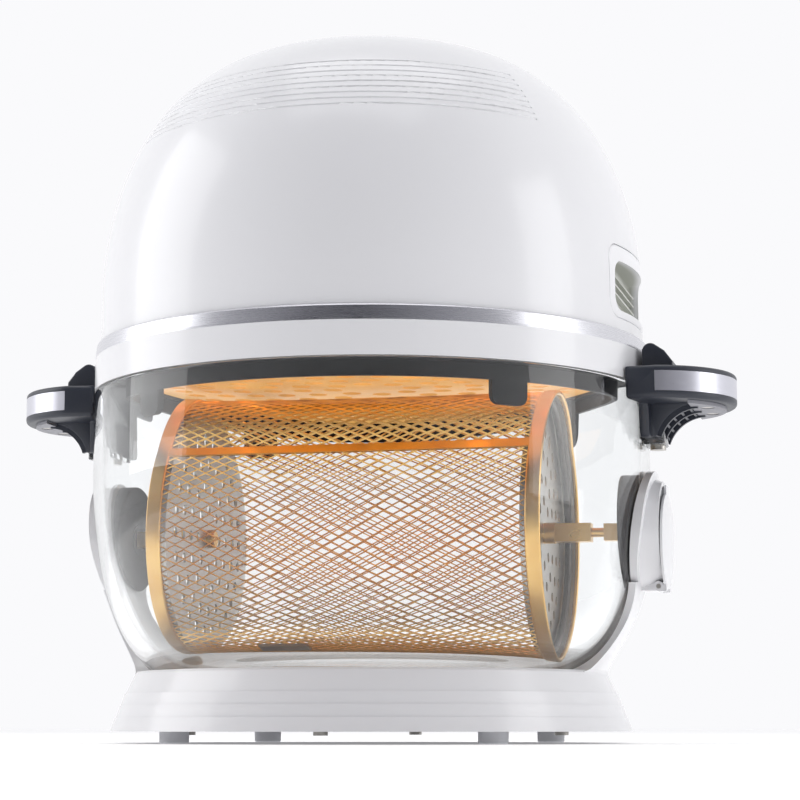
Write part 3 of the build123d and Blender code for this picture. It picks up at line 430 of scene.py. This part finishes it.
def arc_points(centre, radius, start, end, count):
    """Points along an arc, with its angles in degrees."""
    points = []
    for i in range(count + 1):
        angle = math.radians(start + (end - start) * i / count)
        points.append((centre[0] + radius * math.cos(angle), centre[1] + radius * math.sin(angle)))
    return points


def rounded_box(half, low, high, corner):
    """A rectangle with round corners, as (y, z) points."""
    points = []
    for y, z, start in (
        (half - corner, high - corner, 0),
        (corner - half, high - corner, 90),
        (corner - half, low + corner, 180),
        (half - corner, low + corner, 270),
    ):
        points += arc_points((y, z), corner, start, start + 90, CORNER_STEPS)
    return points


def slab(name, outline, low, high, axis="Z"):
    """A flat slab. Its outline is (x, y) for axis Z, (x, z) for axis Y and (y, z) for axis X."""
    order = {"X": (2, 0, 1), "Y": (0, 2, 1), "Z": (0, 1, 2)}[axis]
    points = []
    for pair in outline:
        values = (pair[0] * MM, pair[1] * MM, low * MM)
        points.append([values[i] for i in order])
    thickness = (0, 0, (high - low) * MM)
    step = [thickness[i] for i in order]
    piece = added(name, points, [], [tuple(range(len(points)))])
    bpy.ops.object.mode_set(mode="EDIT")
    bpy.ops.mesh.select_all(action="SELECT")
    bpy.ops.mesh.extrude_region_move(TRANSFORM_OT_translate={"value": step})
    face_outward()
    bpy.ops.object.mode_set(mode="OBJECT")
    return piece


def torus(name, centre, radius, thickness, steps, sides, rotation=(0, 0, 0)):
    """A ring with a round section, which lies flat without a rotation."""
    bpy.ops.object.select_all(action="DESELECT")
    bpy.ops.mesh.primitive_torus_add(
        location=[c * MM for c in centre],
        rotation=rotation,
        major_segments=steps,
        minor_segments=sides,
        major_radius=radius * MM,
        minor_radius=thickness * MM,
    )
    return settle(named(name))


def ellipsoid(name, centre, radii):
    """A ball stretched along the axes."""
    bpy.ops.object.select_all(action="DESELECT")
    bpy.ops.mesh.primitive_uv_sphere_add(
        segments=64, ring_count=32, radius=MM, location=[c * MM for c in centre], scale=radii
    )
    return settle(named(name))


def soften(piece, width, segments=3, angle=40):
    """Rounds the sharp edges of a piece."""
    rounding = piece.modifiers.new("rounding", "BEVEL")
    rounding.width = width * MM
    rounding.segments = segments
    rounding.limit_method = "ANGLE"
    rounding.angle_limit = math.radians(angle)
    rounding.use_clamp_overlap = False
    apply_all(piece)
    bpy.ops.object.mode_set(mode="EDIT")
    bpy.ops.mesh.select_all(action="SELECT")
    bpy.ops.mesh.remove_doubles(threshold=SLIVER_WIDTH)
    bpy.ops.mesh.dissolve_degenerate()
    bpy.ops.mesh.normals_make_consistent(inside=False)
    bpy.ops.object.mode_set(mode="OBJECT")
    return piece


def combine(piece, tool, operation):
    """Joins another piece to this one, cuts it away or keeps what they share, and drops the tool."""
    change = piece.modifiers.new("change", "BOOLEAN")
    change.operation = operation
    change.solver = "EXACT"
    change.object = tool
    apply_all(piece)
    bpy.data.objects.remove(tool)
    return piece


def joined(pieces):
    """Several pieces as one object, with the first one's name."""
    activate(pieces[0])
    for piece in pieces[1:]:
        piece.select_set(True)
    bpy.ops.object.join()
    return pieces[0]


def mirrored(piece, name):
    """A copy of a piece on the other side of the YZ plane."""
    activate(piece)
    bpy.ops.object.duplicate()
    copy = named(name)
    copy.scale = (-1, 1, 1)
    settle(copy)
    bpy.ops.object.mode_set(mode="EDIT")
    face_outward()
    bpy.ops.object.mode_set(mode="OBJECT")
    return copy


def place(piece, material, body, slot, *stands_for):
    """Finishes a piece: its material, the body it rides on and the solids that it stands for."""
    dress(piece, material)
    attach(piece, body)
    if stands_for:
        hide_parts(*stands_for)
    return piece


# Drum: expanded mesh. The diamonds are about 7.5 mm long and 4.2 mm round the drum.
DIAMONDS_LONG = 22
DIAMONDS_ROUND = 84
WIRE = 0.9
MESH_HALF = DRUM_HALF - 1.0
MESH_RADIUS = DRUM_RADIUS - 0.4
MESH_END = 0.5


def drum_mesh():
    """A rolled sheet of diamonds, from a tube whose squares are poked and whose sides are dissolved."""
    bpy.ops.object.select_all(action="DESELECT")
    bpy.ops.mesh.primitive_cylinder_add(
        vertices=DIAMONDS_ROUND,
        radius=MESH_RADIUS * MM,
        depth=2 * MESH_HALF * MM,
        end_fill_type="NOTHING",
        location=(0, 0, DRUM_AXIS * MM),
        rotation=(0, math.pi / 2, 0),
    )
    piece = settle(named("drum_mesh"))
    bpy.ops.object.mode_set(mode="EDIT")
    bpy.ops.mesh.select_mode(type="EDGE")
    bpy.ops.mesh.select_all(action="DESELECT")
    bpy.ops.object.mode_set(mode="OBJECT")
    for edge in piece.data.edges:
        a, b = (piece.data.vertices[i].co for i in edge.vertices)
        edge.select = abs(a.x - b.x) > MESH_HALF * MM
    bpy.ops.object.mode_set(mode="EDIT")
    bpy.ops.mesh.subdivide(number_cuts=DIAMONDS_LONG - 1)
    bpy.ops.object.mode_set(mode="OBJECT")
    squares = {tuple(sorted(e.vertices)) for e in piece.data.edges}
    bpy.ops.object.mode_set(mode="EDIT")
    bpy.ops.mesh.select_all(action="SELECT")
    bpy.ops.mesh.poke()
    bpy.ops.mesh.select_all(action="DESELECT")
    bpy.ops.object.mode_set(mode="OBJECT")
    end = (MESH_HALF - MESH_END) * MM
    for edge in piece.data.edges:
        a, b = (piece.data.vertices[i].co for i in edge.vertices)
        inside = min(abs(a.x), abs(b.x)) < end
        edge.select = tuple(sorted(edge.vertices)) in squares and inside
    bpy.ops.object.mode_set(mode="EDIT")
    bpy.ops.mesh.dissolve_edges(use_verts=False)
    bpy.ops.object.mode_set(mode="OBJECT")
    wires = piece.modifiers.new("wires", "WIREFRAME")
    wires.thickness = WIRE * MM
    wires.use_even_offset = False
    wires.use_boundary = True
    smooth(apply_all(piece), angle=50)
    return place(piece, tinted_steel, "drum", "warm_steel", "basket_mesh")


drum_mesh()

# Glass bowl: one thick wall, round at its rim, with an ear under each handle
GLASS_WALL = 4.5
GLASS_FLOOR = 5.0
GLASS_FLAT = 56.0
GLASS_INSIDE = GLASS_RADIUS - GLASS_WALL
RIM_ROUND = 1.3
RIM_STEPS = 5
EAR_LOW = 127.0
EAR_HIGH = 139.0
EAR_HALF = 10.0
EAR_REACH = 131.0
EAR_CORNER = 3.0
EAR_SUNK = 1.2
EAR_ROUND = 0.9
EAR_HOLE = 2.2
EAR_HOLE_X = 127.4
EAR_HOLE_SPARE = 2.0

# Down to the side's share of the depth, the wall is where the share of the depth, to the power down, and
# the share of the radius, to the power across, make one together. A curve leads from there to the flat.
SIDE_SHARE = 0.97
SIDE_DOWN = 1.9
SIDE_ACROSS = 7
SIDE_SPACING = 1.5
SIDE_STEPS = 36
HEEL_REACH = 9.0
HEEL_STEPS = 8


def bowl_side(shrink, floor):
    """Points down one face of the glass from its shoulder to its flat, as (radius, height)."""
    depth = GLASS_SHOULDER - GLASS_BOTTOM - floor
    bottom = GLASS_BOTTOM + floor
    points = []
    for i in range(SIDE_STEPS + 1):
        share = SIDE_SHARE * (1 - (1 - i / SIDE_STEPS) ** SIDE_SPACING)
        radius = (GLASS_RADIUS - shrink) * (1 - share**SIDE_DOWN) ** (1 / SIDE_ACROSS)
        points.append((radius, GLASS_SHOULDER - share * depth))
    start = points[-1]
    corner = (start[0] - HEEL_REACH, bottom)
    end = (GLASS_FLAT - shrink, bottom)
    for i in range(1, HEEL_STEPS + 1):
        t = i / HEEL_STEPS
        weights = ((1 - t) ** 2, 2 * t * (1 - t), t * t)
        points.append(tuple(sum(w * p[k] for w, p in zip(weights, (start, corner, end))) for k in (0, 1)))
    return points


def glass_ear():
    """The ear under the right handle, with its screw hole."""
    middle = (EAR_REACH - EAR_CORNER, EAR_HALF - EAR_CORNER)
    outline = arc_points(middle, EAR_CORNER, 90, 0, 6)
    outline += arc_points((middle[0], -middle[1]), EAR_CORNER, 0, -90, 6)
    inner = GLASS_INSIDE + EAR_SUNK
    outline += [(inner, -EAR_HALF), (inner, EAR_HALF)]
    ear = soften(slab("ear", outline[::-1], EAR_LOW, EAR_HIGH), EAR_ROUND, angle=60)
    circle = arc_points((EAR_HOLE_X, 0), EAR_HOLE, 0, 350, 35)
    hole = slab("hole", circle, EAR_LOW - EAR_HOLE_SPARE, EAR_HIGH + EAR_HOLE_SPARE)
    return combine(ear, hole, "DIFFERENCE")


def glass_bowl():
    """The bowl with both ears."""
    outer = bowl_side(0, 0)
    inner = bowl_side(GLASS_WALL, GLASS_FLOOR)
    rim_height = GLASS_RIM - RIM_ROUND
    rim = arc_points((GLASS_INSIDE + RIM_ROUND, rim_height), RIM_ROUND, 180, 90, RIM_STEPS)
    rim += arc_points((GLASS_RADIUS - RIM_ROUND, rim_height), RIM_ROUND, 90, 0, RIM_STEPS)
    floor = [(0, GLASS_BOTTOM), (0, GLASS_BOTTOM + GLASS_FLOOR)]
    bowl = turned("glass_bowl_visual", outer + floor + inner[::-1] + rim)
    ear = glass_ear()
    other = mirrored(ear, "other_ear")
    combine(bowl, ear, "UNION")
    combine(bowl, other, "UNION")
    return place(smooth(bowl), glass, "bowl", "clear_glass", "glass_bowl")


glass_bowl()

# Touch panel on the crown: a dark display window with lit digits, and a ring of printed touch marks
WINDOW_HALF = 11.0
WINDOW_DEPTH = 9.0
WINDOW_CORNER = 2.0
WINDOW_SUNK = 0.6
WINDOW_PROUD = 0.22
WINDOW_ROUND = 0.15
DIGIT_WIDTH = 3.0
DIGIT_HEIGHT = 5.6
DIGIT_LINE = 0.55
DIGIT_GAP = 0.7
DIGIT_PITCH = 5.0
DIGIT_PROUD = 0.32
MARK_RING = 26.0
MARK_COUNT = 8
MARK_RADIUS = 2.4
MARK_LINE = 0.3
MARK_PROUD = 0.05
# Bars of each digit: top, upper right, lower right, bottom, lower left, upper left, middle
SHOWN_DIGITS = ("0110000", "1111111", "1111110")


def crown_height(radius):
    """Height of the crown's surface at a radius."""
    share = (1 - (radius / DOME_RADIUS) ** DOME_ACROSS) ** (1 / DOME_UP)
    return DOME_SHOULDER + share * (DOME_TOP - DOME_SHOULDER)


def box_outline(x, y, width, depth):
    """Corners of a rectangle about a middle point."""
    left, right = x - width / 2, x + width / 2
    near, far = y - depth / 2, y + depth / 2
    return [(left, near), (right, near), (right, far), (left, far)]


def digit_bars(x, shown):
    """Bars of one digit about a middle place on the window."""
    side, half = DIGIT_WIDTH / 2, DIGIT_HEIGHT / 2
    places = (
        (0, half, True),
        (side, half / 2, False),
        (side, -half / 2, False),
        (0, -half, True),
        (-side, -half / 2, False),
        (-side, half / 2, False),
        (0, 0, True),
    )
    bars = []
    for flag, (dx, dy, flat) in zip(shown, places):
        if flag == "1":
            size = (DIGIT_WIDTH - DIGIT_GAP, DIGIT_LINE) if flat else (DIGIT_LINE, half - DIGIT_GAP)
            outline = box_outline(x + dx, dy, *size)
            bars.append(slab("digits", outline, DOME_TOP, DOME_TOP + DIGIT_PROUD))
    return bars


def display_window():
    """The dark window in the crown."""
    outline = rounded_box(WINDOW_HALF, -WINDOW_DEPTH / 2, WINDOW_DEPTH / 2, WINDOW_CORNER)
    window = slab("display_window", outline, DOME_TOP - WINDOW_SUNK, DOME_TOP + WINDOW_PROUD)
    soften(window, WINDOW_ROUND, segments=2, angle=60)
    return place(window, black_pps, "head", "black_plastic")


def digits():
    """The lit digits on the window."""
    bars = []
    for i, shown in enumerate(SHOWN_DIGITS):
        bars += digit_bars((i - 1) * DIGIT_PITCH, shown)
    return place(joined(bars), lit_digits, "head", "white_shell")


def touch_marks():
    """Thin circles in a ring round the window."""
    height = crown_height(MARK_RING) + MARK_PROUD
    marks = []
    for i in range(MARK_COUNT):
        angle = 2 * math.pi * (i + 0.5) / MARK_COUNT
        centre = (MARK_RING * math.cos(angle), MARK_RING * math.sin(angle), height)
        marks.append(torus("touch_marks", centre, MARK_RADIUS, MARK_LINE, steps=48, sides=8))
    return place(joined(marks), grey_abs, "head", "grey_plastic")


display_window()
digits()
touch_marks()

# Seam and rims of the drum: a folded gold strip that closes the mesh, and rolled beads at its ends
SEAM_HALF = 2.2
SEAM_PROUD = 0.5
SEAM_SUNK = 0.6
SEAM_ROUND = 0.25
BEAD_RADIUS = DRUM_RADIUS - 0.3
BEAD_THICKNESS = 0.9
BEAD_PLACE = DRUM_HALF - 0.4
INNER_BEAD_PLACE = DRUM_HALF - RIM_WIDTH
LIP_PLACE = DRUM_HALF - 4.5
LIP_RADIUS = DRUM_RADIUS - 3.0
LIP_THICKNESS = 1.6


def drum_seam():
    """The folded strip along the mesh, at the place of the solid that it stands for."""
    strip = nodes["seam_strip"]
    middle = sum((v.co for v in strip.data.vertices), Vector()) / len(strip.data.vertices)
    angle = math.degrees(math.atan2(middle.z / MM - DRUM_AXIS, middle.y / MM))
    centre = (0, DRUM_AXIS)
    half = math.degrees(SEAM_HALF / DRUM_RADIUS)
    outline = arc_points(centre, DRUM_RADIUS + SEAM_PROUD, angle - half, angle + half, 6)
    outline += arc_points(centre, DRUM_RADIUS - SEAM_SUNK, angle + half, angle - half, 6)
    reach = DRUM_HALF - RIM_WIDTH
    seam = soften(slab("drum_seam", outline, -reach, reach, "X"), SEAM_ROUND, segments=2, angle=50)
    return place(seam, tinted_steel, "drum", "warm_steel", "seam_strip")


def rim_bead(name, x, radius, thickness, material):
    """A rolled bead round the drum."""
    upright = (0, math.pi / 2, 0)
    bead = torus(name, (x, 0, DRUM_AXIS), radius, thickness, steps=144, sides=12, rotation=upright)
    bpy.ops.object.shade_smooth()
    return place(bead, material, "drum", "warm_steel")


drum_seam()
for side, sign in (("right", 1), ("left", -1)):
    rim_bead(f"rim_bead_{side}", sign * BEAD_PLACE, BEAD_RADIUS, BEAD_THICKNESS, tinted_steel)
    rim_bead(f"rim_bead_inner_{side}", sign * INNER_BEAD_PLACE, BEAD_RADIUS, BEAD_THICKNESS, tinted_steel)
    rim_bead(f"disc_lip_{side}", sign * LIP_PLACE, LIP_RADIUS, LIP_THICKNESS, dark_steel)

# Handles: a half-round grip, a curved root against the glass with a ribbed horn under it, and a thumb
# tab with a scoop beside the head
GRIP_ROUND = 1.8
WING_HALF = 35.5
WING_LOW = 149.0
INLAY_START = 130.9
INLAY_LOW = 145.9
INLAY_HIGH = 154.6
INLAY_DEPTH = 1.9
CUT_SPARE = 3.0
CUT_HALF = 60.0
CUT_END = 180.0
ROOT_HALF = 20.5
ROOT_MIDDLE = 138.0
ROOT_RING_LOW = ROOT_LOW - 5.0
ROOT_CUT = (95.0, 140.0)
ROOT_ROUND = 0.8
TAB_HALF = 20.5
TAB_INNER = 123.6
TAB_FOOT = GRIP_HIGH - 4.0
TAB_TOP_CENTRE = (127.0, TAB_HIGH - 3.4)
TAB_TOP_ROUND = 3.4
TAB_SLOPE = [(133.0, TAB_HIGH - TAB_TOP_ROUND), (136.4, TAB_HIGH - 8.0), (137.2, TAB_FOOT)]
TAB_CORNER = 8.0
TAB_CUT = (110.0, 150.0)
TAB_CUT_HALF = TAB_HALF - 0.2
TAB_CUT_HIGH = TAB_HIGH + 0.1
TAB_ROUND = 0.7
SCOOP_CENTRE = (139.5, 0, TAB_HIGH - 2.0)
SCOOP_RADII = (9.0, 15.0, 9.5)
HORN_BACK = 124.2
HORN_CENTRE = (147.0, 124.0)
HORN_RADIUS = 19.0
HORN_HALF = 16.0
HORN_TOP = GRIP_LOW + 3.0
HORN_ROUND = 0.7
RIB_COUNT = 5
RIB_FIRST = 104
RIB_PITCH = 13
RIB_SPREAD = 1.6
RIB_RISE = 1.4
RIB_DEPTH = 0.6
RIB_SETBACK = 0.6
SPINE_PLACES = (0.5 - HORN_HALF, -1.0, HORN_HALF - 2.5)
SPINE_WIDTH = 2.0
SPINE_RISE = 2.0
SPINE_DEPTH = 0.8


def grip_outline(inset, inner_radius):
    """Top view of the grip between its round tip and a circle about the bowl's axis."""
    half = GRIP_HALF - inset
    rise = GRIP_TIP - inset - GRIP_START
    radius = (half**2 + rise**2) / (2 * rise)
    spread = math.degrees(math.asin(half / radius))
    tip = arc_points((GRIP_TIP - inset - radius, 0), radius, -spread, spread, 48)
    wing = math.degrees(math.asin(WING_HALF / inner_radius))
    return tip + arc_points((0, 0), inner_radius, wing, -wing, 16)


def inlay_groove():
    """The space of the bright inlay round the grip, open to the outside."""
    groove = slab("groove", grip_outline(-1.0, ROOT_INNER - 2.0), INLAY_LOW, INLAY_HIGH)
    low, high = GRIP_LOW - CUT_SPARE, GRIP_HIGH + CUT_SPARE
    combine(groove, slab("core", grip_outline(INLAY_DEPTH, ROOT_INNER - 3.0), low, high), "DIFFERENCE")
    corners = [
        (INLAY_START, -CUT_HALF),
        (CUT_END, -CUT_HALF),
        (CUT_END, CUT_HALF),
        (INLAY_START, CUT_HALF),
    ]
    return combine(groove, slab("window", corners, low, high), "INTERSECT")


def root_plate():
    """The plate that hugs the glass, cut from a ring by its outline as seen from the side."""
    foot = arc_points((0, ROOT_MIDDLE), ROOT_HALF, 200, 340, 16)
    outline = [(y, max(z, ROOT_LOW)) for y, z in foot]
    outline += [(ROOT_HALF, GRIP_LOW), (WING_HALF, WING_LOW), (WING_HALF, GRIP_HIGH)]
    outline += [(-WING_HALF, GRIP_HIGH), (-WING_HALF, WING_LOW), (-ROOT_HALF, GRIP_LOW)]
    plate = slab("root", outline, *ROOT_CUT, "X")
    ring = [
        (ROOT_INNER, ROOT_RING_LOW),
        (ROOT_OUTER, ROOT_RING_LOW),
        (ROOT_OUTER, TAB_HIGH),
        (ROOT_INNER, TAB_HIGH),
    ]
    return soften(combine(plate, turned("root_ring", ring), "INTERSECT"), ROOT_ROUND, segments=2)


def thumb_tab():
    """The tab that stands up beside the head, with a scoop for the thumb."""
    profile = [(TAB_INNER, TAB_FOOT), (TAB_INNER, TAB_HIGH - 3.0)]
    profile += arc_points(TAB_TOP_CENTRE, TAB_TOP_ROUND, 180, 60, 8)
    tab = slab("tab", profile + TAB_SLOPE, -TAB_HALF, TAB_HALF, "Y")
    front = rounded_box(TAB_CUT_HALF, GRIP_LOW - CUT_SPARE, TAB_CUT_HIGH, TAB_CORNER)
    combine(tab, slab("front", front, *TAB_CUT, "X"), "INTERSECT")
    combine(tab, ellipsoid("scoop", SCOOP_CENTRE, SCOOP_RADII), "DIFFERENCE")
    return soften(tab, TAB_ROUND, angle=50)


def horn_band(rise, depth, start, end, steps):
    """Side view of a band along the horn's curve, which rises above the curve and sinks into it."""
    outline = arc_points(HORN_CENTRE, HORN_RADIUS - rise, start, end, steps)
    return outline + arc_points(HORN_CENTRE, HORN_RADIUS + depth, end, start, steps)


def horn():
    """The hollow-curved bracket under the grip, with ribs across it and three spines along it."""
    outline = arc_points(HORN_CENTRE, HORN_RADIUS, 90, 164, 20)
    outline += [(HORN_BACK, ROOT_LOW + 1.0), (HORN_BACK, HORN_TOP), (HORN_CENTRE[0], HORN_TOP)]
    bracket = soften(slab("horn", outline, -HORN_HALF, HORN_HALF, "Y"), HORN_ROUND, segments=2)
    rib_half = HORN_HALF - RIB_SETBACK
    for i in range(RIB_COUNT):
        angle = RIB_FIRST + RIB_PITCH * i
        band = horn_band(RIB_RISE, RIB_DEPTH, angle - RIB_SPREAD, angle + RIB_SPREAD, 2)
        combine(bracket, slab("rib", band, -rib_half, rib_half, "Y"), "UNION")
    for y in SPINE_PLACES:
        band = horn_band(SPINE_RISE, SPINE_DEPTH, 92, 162, 20)
        combine(bracket, slab("spine", band, y, y + SPINE_WIDTH, "Y"), "UNION")
    return bracket


def handle_shell():
    """The right handle without its bright inlay, its panel and its screws."""
    grip = slab("handle_shell_right", grip_outline(0, ROOT_INNER), GRIP_LOW, GRIP_HIGH)
    soften(grip, GRIP_ROUND, segments=4, angle=60)
    combine(grip, inlay_groove(), "DIFFERENCE")
    return smooth(joined([grip, root_plate(), thumb_tab(), horn()]))


right_shell = handle_shell()
left_shell = mirrored(right_shell, "handle_shell_left")
place(right_shell, nylon, "bowl", "blue_grey_plastic", "handle_upper_right", "handle_lower_right")
place(left_shell, nylon, "bowl", "blue_grey_plastic", "handle_upper_left", "handle_lower_left")

# Side grilles: a frame let into the dome, a rounded pocket and faint louvres at its back
VENT_CORNER = 7.7
VENT_FRONT = 126.0
VENT_ROUND = 0.5
POCKET_HALF = 36.0
POCKET_LOW = 181.5
POCKET_HIGH = 203.0
POCKET_CORNER = 6.5
POCKET_BACK = 110.0
POCKET_FRONT = 130.0
POCKET_ROUND = 1.6
LOUVRE_COUNT = 3
LOUVRE_FIRST = POCKET_HIGH - 5.0
LOUVRE_PITCH = 3.6
LOUVRE_HEIGHT = 0.9
LOUVRE_SUNK = 1.0
LOUVRE_REACH = 2.6
DOME_START = 170.0
DOME_STEPS = 12
DOME_STEP = 0.03


def dome_side():
    """Outline of the dome's side as high as the grilles, as (radius, height) points."""
    rise = DOME_TOP - DOME_SHOULDER
    points = [(0, DOME_START), (DOME_RADIUS, DOME_START), (DOME_RADIUS, DOME_SHOULDER)]
    for i in range(1, DOME_STEPS + 1):
        share = DOME_STEP * i
        radius = DOME_RADIUS * (1 - share**DOME_UP) ** (1 / DOME_ACROSS)
        points.append((radius, DOME_SHOULDER + share * rise))
    return points + [(0, points[-1][1])]


def vent():
    """The right grille, cut from the same shape as the dome."""
    outline = rounded_box(VENT_HALF, VENT_LOW, VENT_HIGH, VENT_CORNER)
    grille = slab("vent_right", outline, VENT_BACK, VENT_FRONT, "X")
    combine(grille, turned("dome_shape", dome_side()), "INTERSECT")
    soften(grille, VENT_ROUND, segments=2, angle=50)
    pocket = slab(
        "pocket",
        rounded_box(POCKET_HALF, POCKET_LOW, POCKET_HIGH, POCKET_CORNER),
        POCKET_BACK,
        POCKET_FRONT,
        "X",
    )
    combine(grille, soften(pocket, POCKET_ROUND, angle=60), "DIFFERENCE")
    for i in range(LOUVRE_COUNT):
        low = LOUVRE_FIRST - LOUVRE_PITCH * i
        high = low + LOUVRE_HEIGHT
        louvre = [(-POCKET_HALF, low), (POCKET_HALF, low), (POCKET_HALF, high), (-POCKET_HALF, high)]
        back, front = POCKET_BACK - LOUVRE_SUNK, POCKET_BACK + LOUVRE_REACH
        combine(grille, slab("louvre", louvre, back, front, "X"), "UNION")
    return smooth(grille)


right_vent = vent()
left_vent = mirrored(right_vent, "vent_left")
place(right_vent, grille_abs, "head", "grille_grey", "vent_grille_right")
place(left_vent, grille_abs, "head", "grille_grey", "vent_grille_left")

# Camera at the photo's place: just above the worktop, a little to the right of the front and looking up
# a little. Its lens and its angles in degrees were fitted to the photo's outline.
CAMERA_LENS = 105.4
CAMERA_SENSOR = 36.0
CAMERA_DISTANCE = 1034.0
CAMERA_TURN = 14.2
CAMERA_HEIGHT = 6.0
CAMERA_PITCH = 8.0
CAMERA_AIM = 0.685
camera_data = bpy.data.cameras.new("camera")
camera_data.lens = CAMERA_LENS
camera_data.sensor_width = CAMERA_SENSOR
camera = bpy.data.objects.new("camera", camera_data)
bpy.context.scene.collection.objects.link(camera)
camera_angle = math.radians(CAMERA_TURN)
camera.location = (
    CAMERA_DISTANCE * MM * math.sin(camera_angle),
    -CAMERA_DISTANCE * MM * math.cos(camera_angle),
    CAMERA_HEIGHT * MM,
)
camera.rotation_euler = (
    math.radians(90 + CAMERA_PITCH),
    0,
    math.radians(CAMERA_TURN - CAMERA_AIM),
)
bpy.context.scene.camera = camera

# Floor: a plain pale worktop, in metres
FLOOR_SIZE = 40.0
bpy.ops.object.select_all(action="DESELECT")
bpy.ops.mesh.primitive_plane_add(size=FLOOR_SIZE)
floor = named("floor")
floor_paint, tree, shader = surface(
    "pale_worktop", "#FDFDFD", 0.6, Emission_Color=linear("#FFFFFF"), Emission_Strength=0.2
)
dress(floor, floor_paint)

# Studio: a bright surround that darkens towards the front, and large soft lights
FRONT = (0.1, -0.99, 0.05)
SURROUND = ((0.0, "#FAFAFC"), (0.3, "#C4C4C8"), (0.8, "#8A8A90"), (0.94, "#44444A"))
world = bpy.data.worlds.new("studio")
bpy.context.scene.world = world
world.use_nodes = True
tree = world.node_tree
sky = tree.nodes["Background"]
direction = node(tree, "ShaderNodeTexCoord").outputs["Generated"]
frontness = node(
    tree,
    "ShaderNodeVectorMath",
    {"operation": "DOT_PRODUCT"},
    {0: direction, 1: FRONT},
)
ramp = node(tree, "ShaderNodeValToRGB", inputs={"Fac": frontness.outputs["Value"]})
elements = ramp.color_ramp.elements
while len(elements) < len(SURROUND):
    elements.new(0.5)
for element, (position, hex_code) in zip(elements, SURROUND):
    element.position = position
    element.color = linear(hex_code)
tree.links.new(ramp.outputs["Color"], sky.inputs["Color"])


def softbox(name, place, aim, width, height, watts):
    """A rectangular soft white light, with its place and aim in millimetres."""
    data = bpy.data.lights.new(name, "AREA")
    data.shape = "RECTANGLE"
    data.size = width * MM
    data.size_y = height * MM
    data.energy = watts
    lamp = bpy.data.objects.new(name, data)
    bpy.context.scene.collection.objects.link(lamp)
    lamp.location = Vector(place) * MM
    lamp.rotation_euler = (Vector(aim) - Vector(place)).to_track_quat("-Z", "Y").to_euler()


softbox("left_softbox", (-1750, -250, 900), (0, 0, 160), 1200, 1400, 10)
softbox("right_softbox", (1700, 0, 600), (0, 0, 140), 700, 1200, 5)
softbox("top_softbox", (0, -200, 1700), (0, 0, 150), 1200, 1200, 6)

bpy.context.scene.view_settings.view_transform = "Standard"
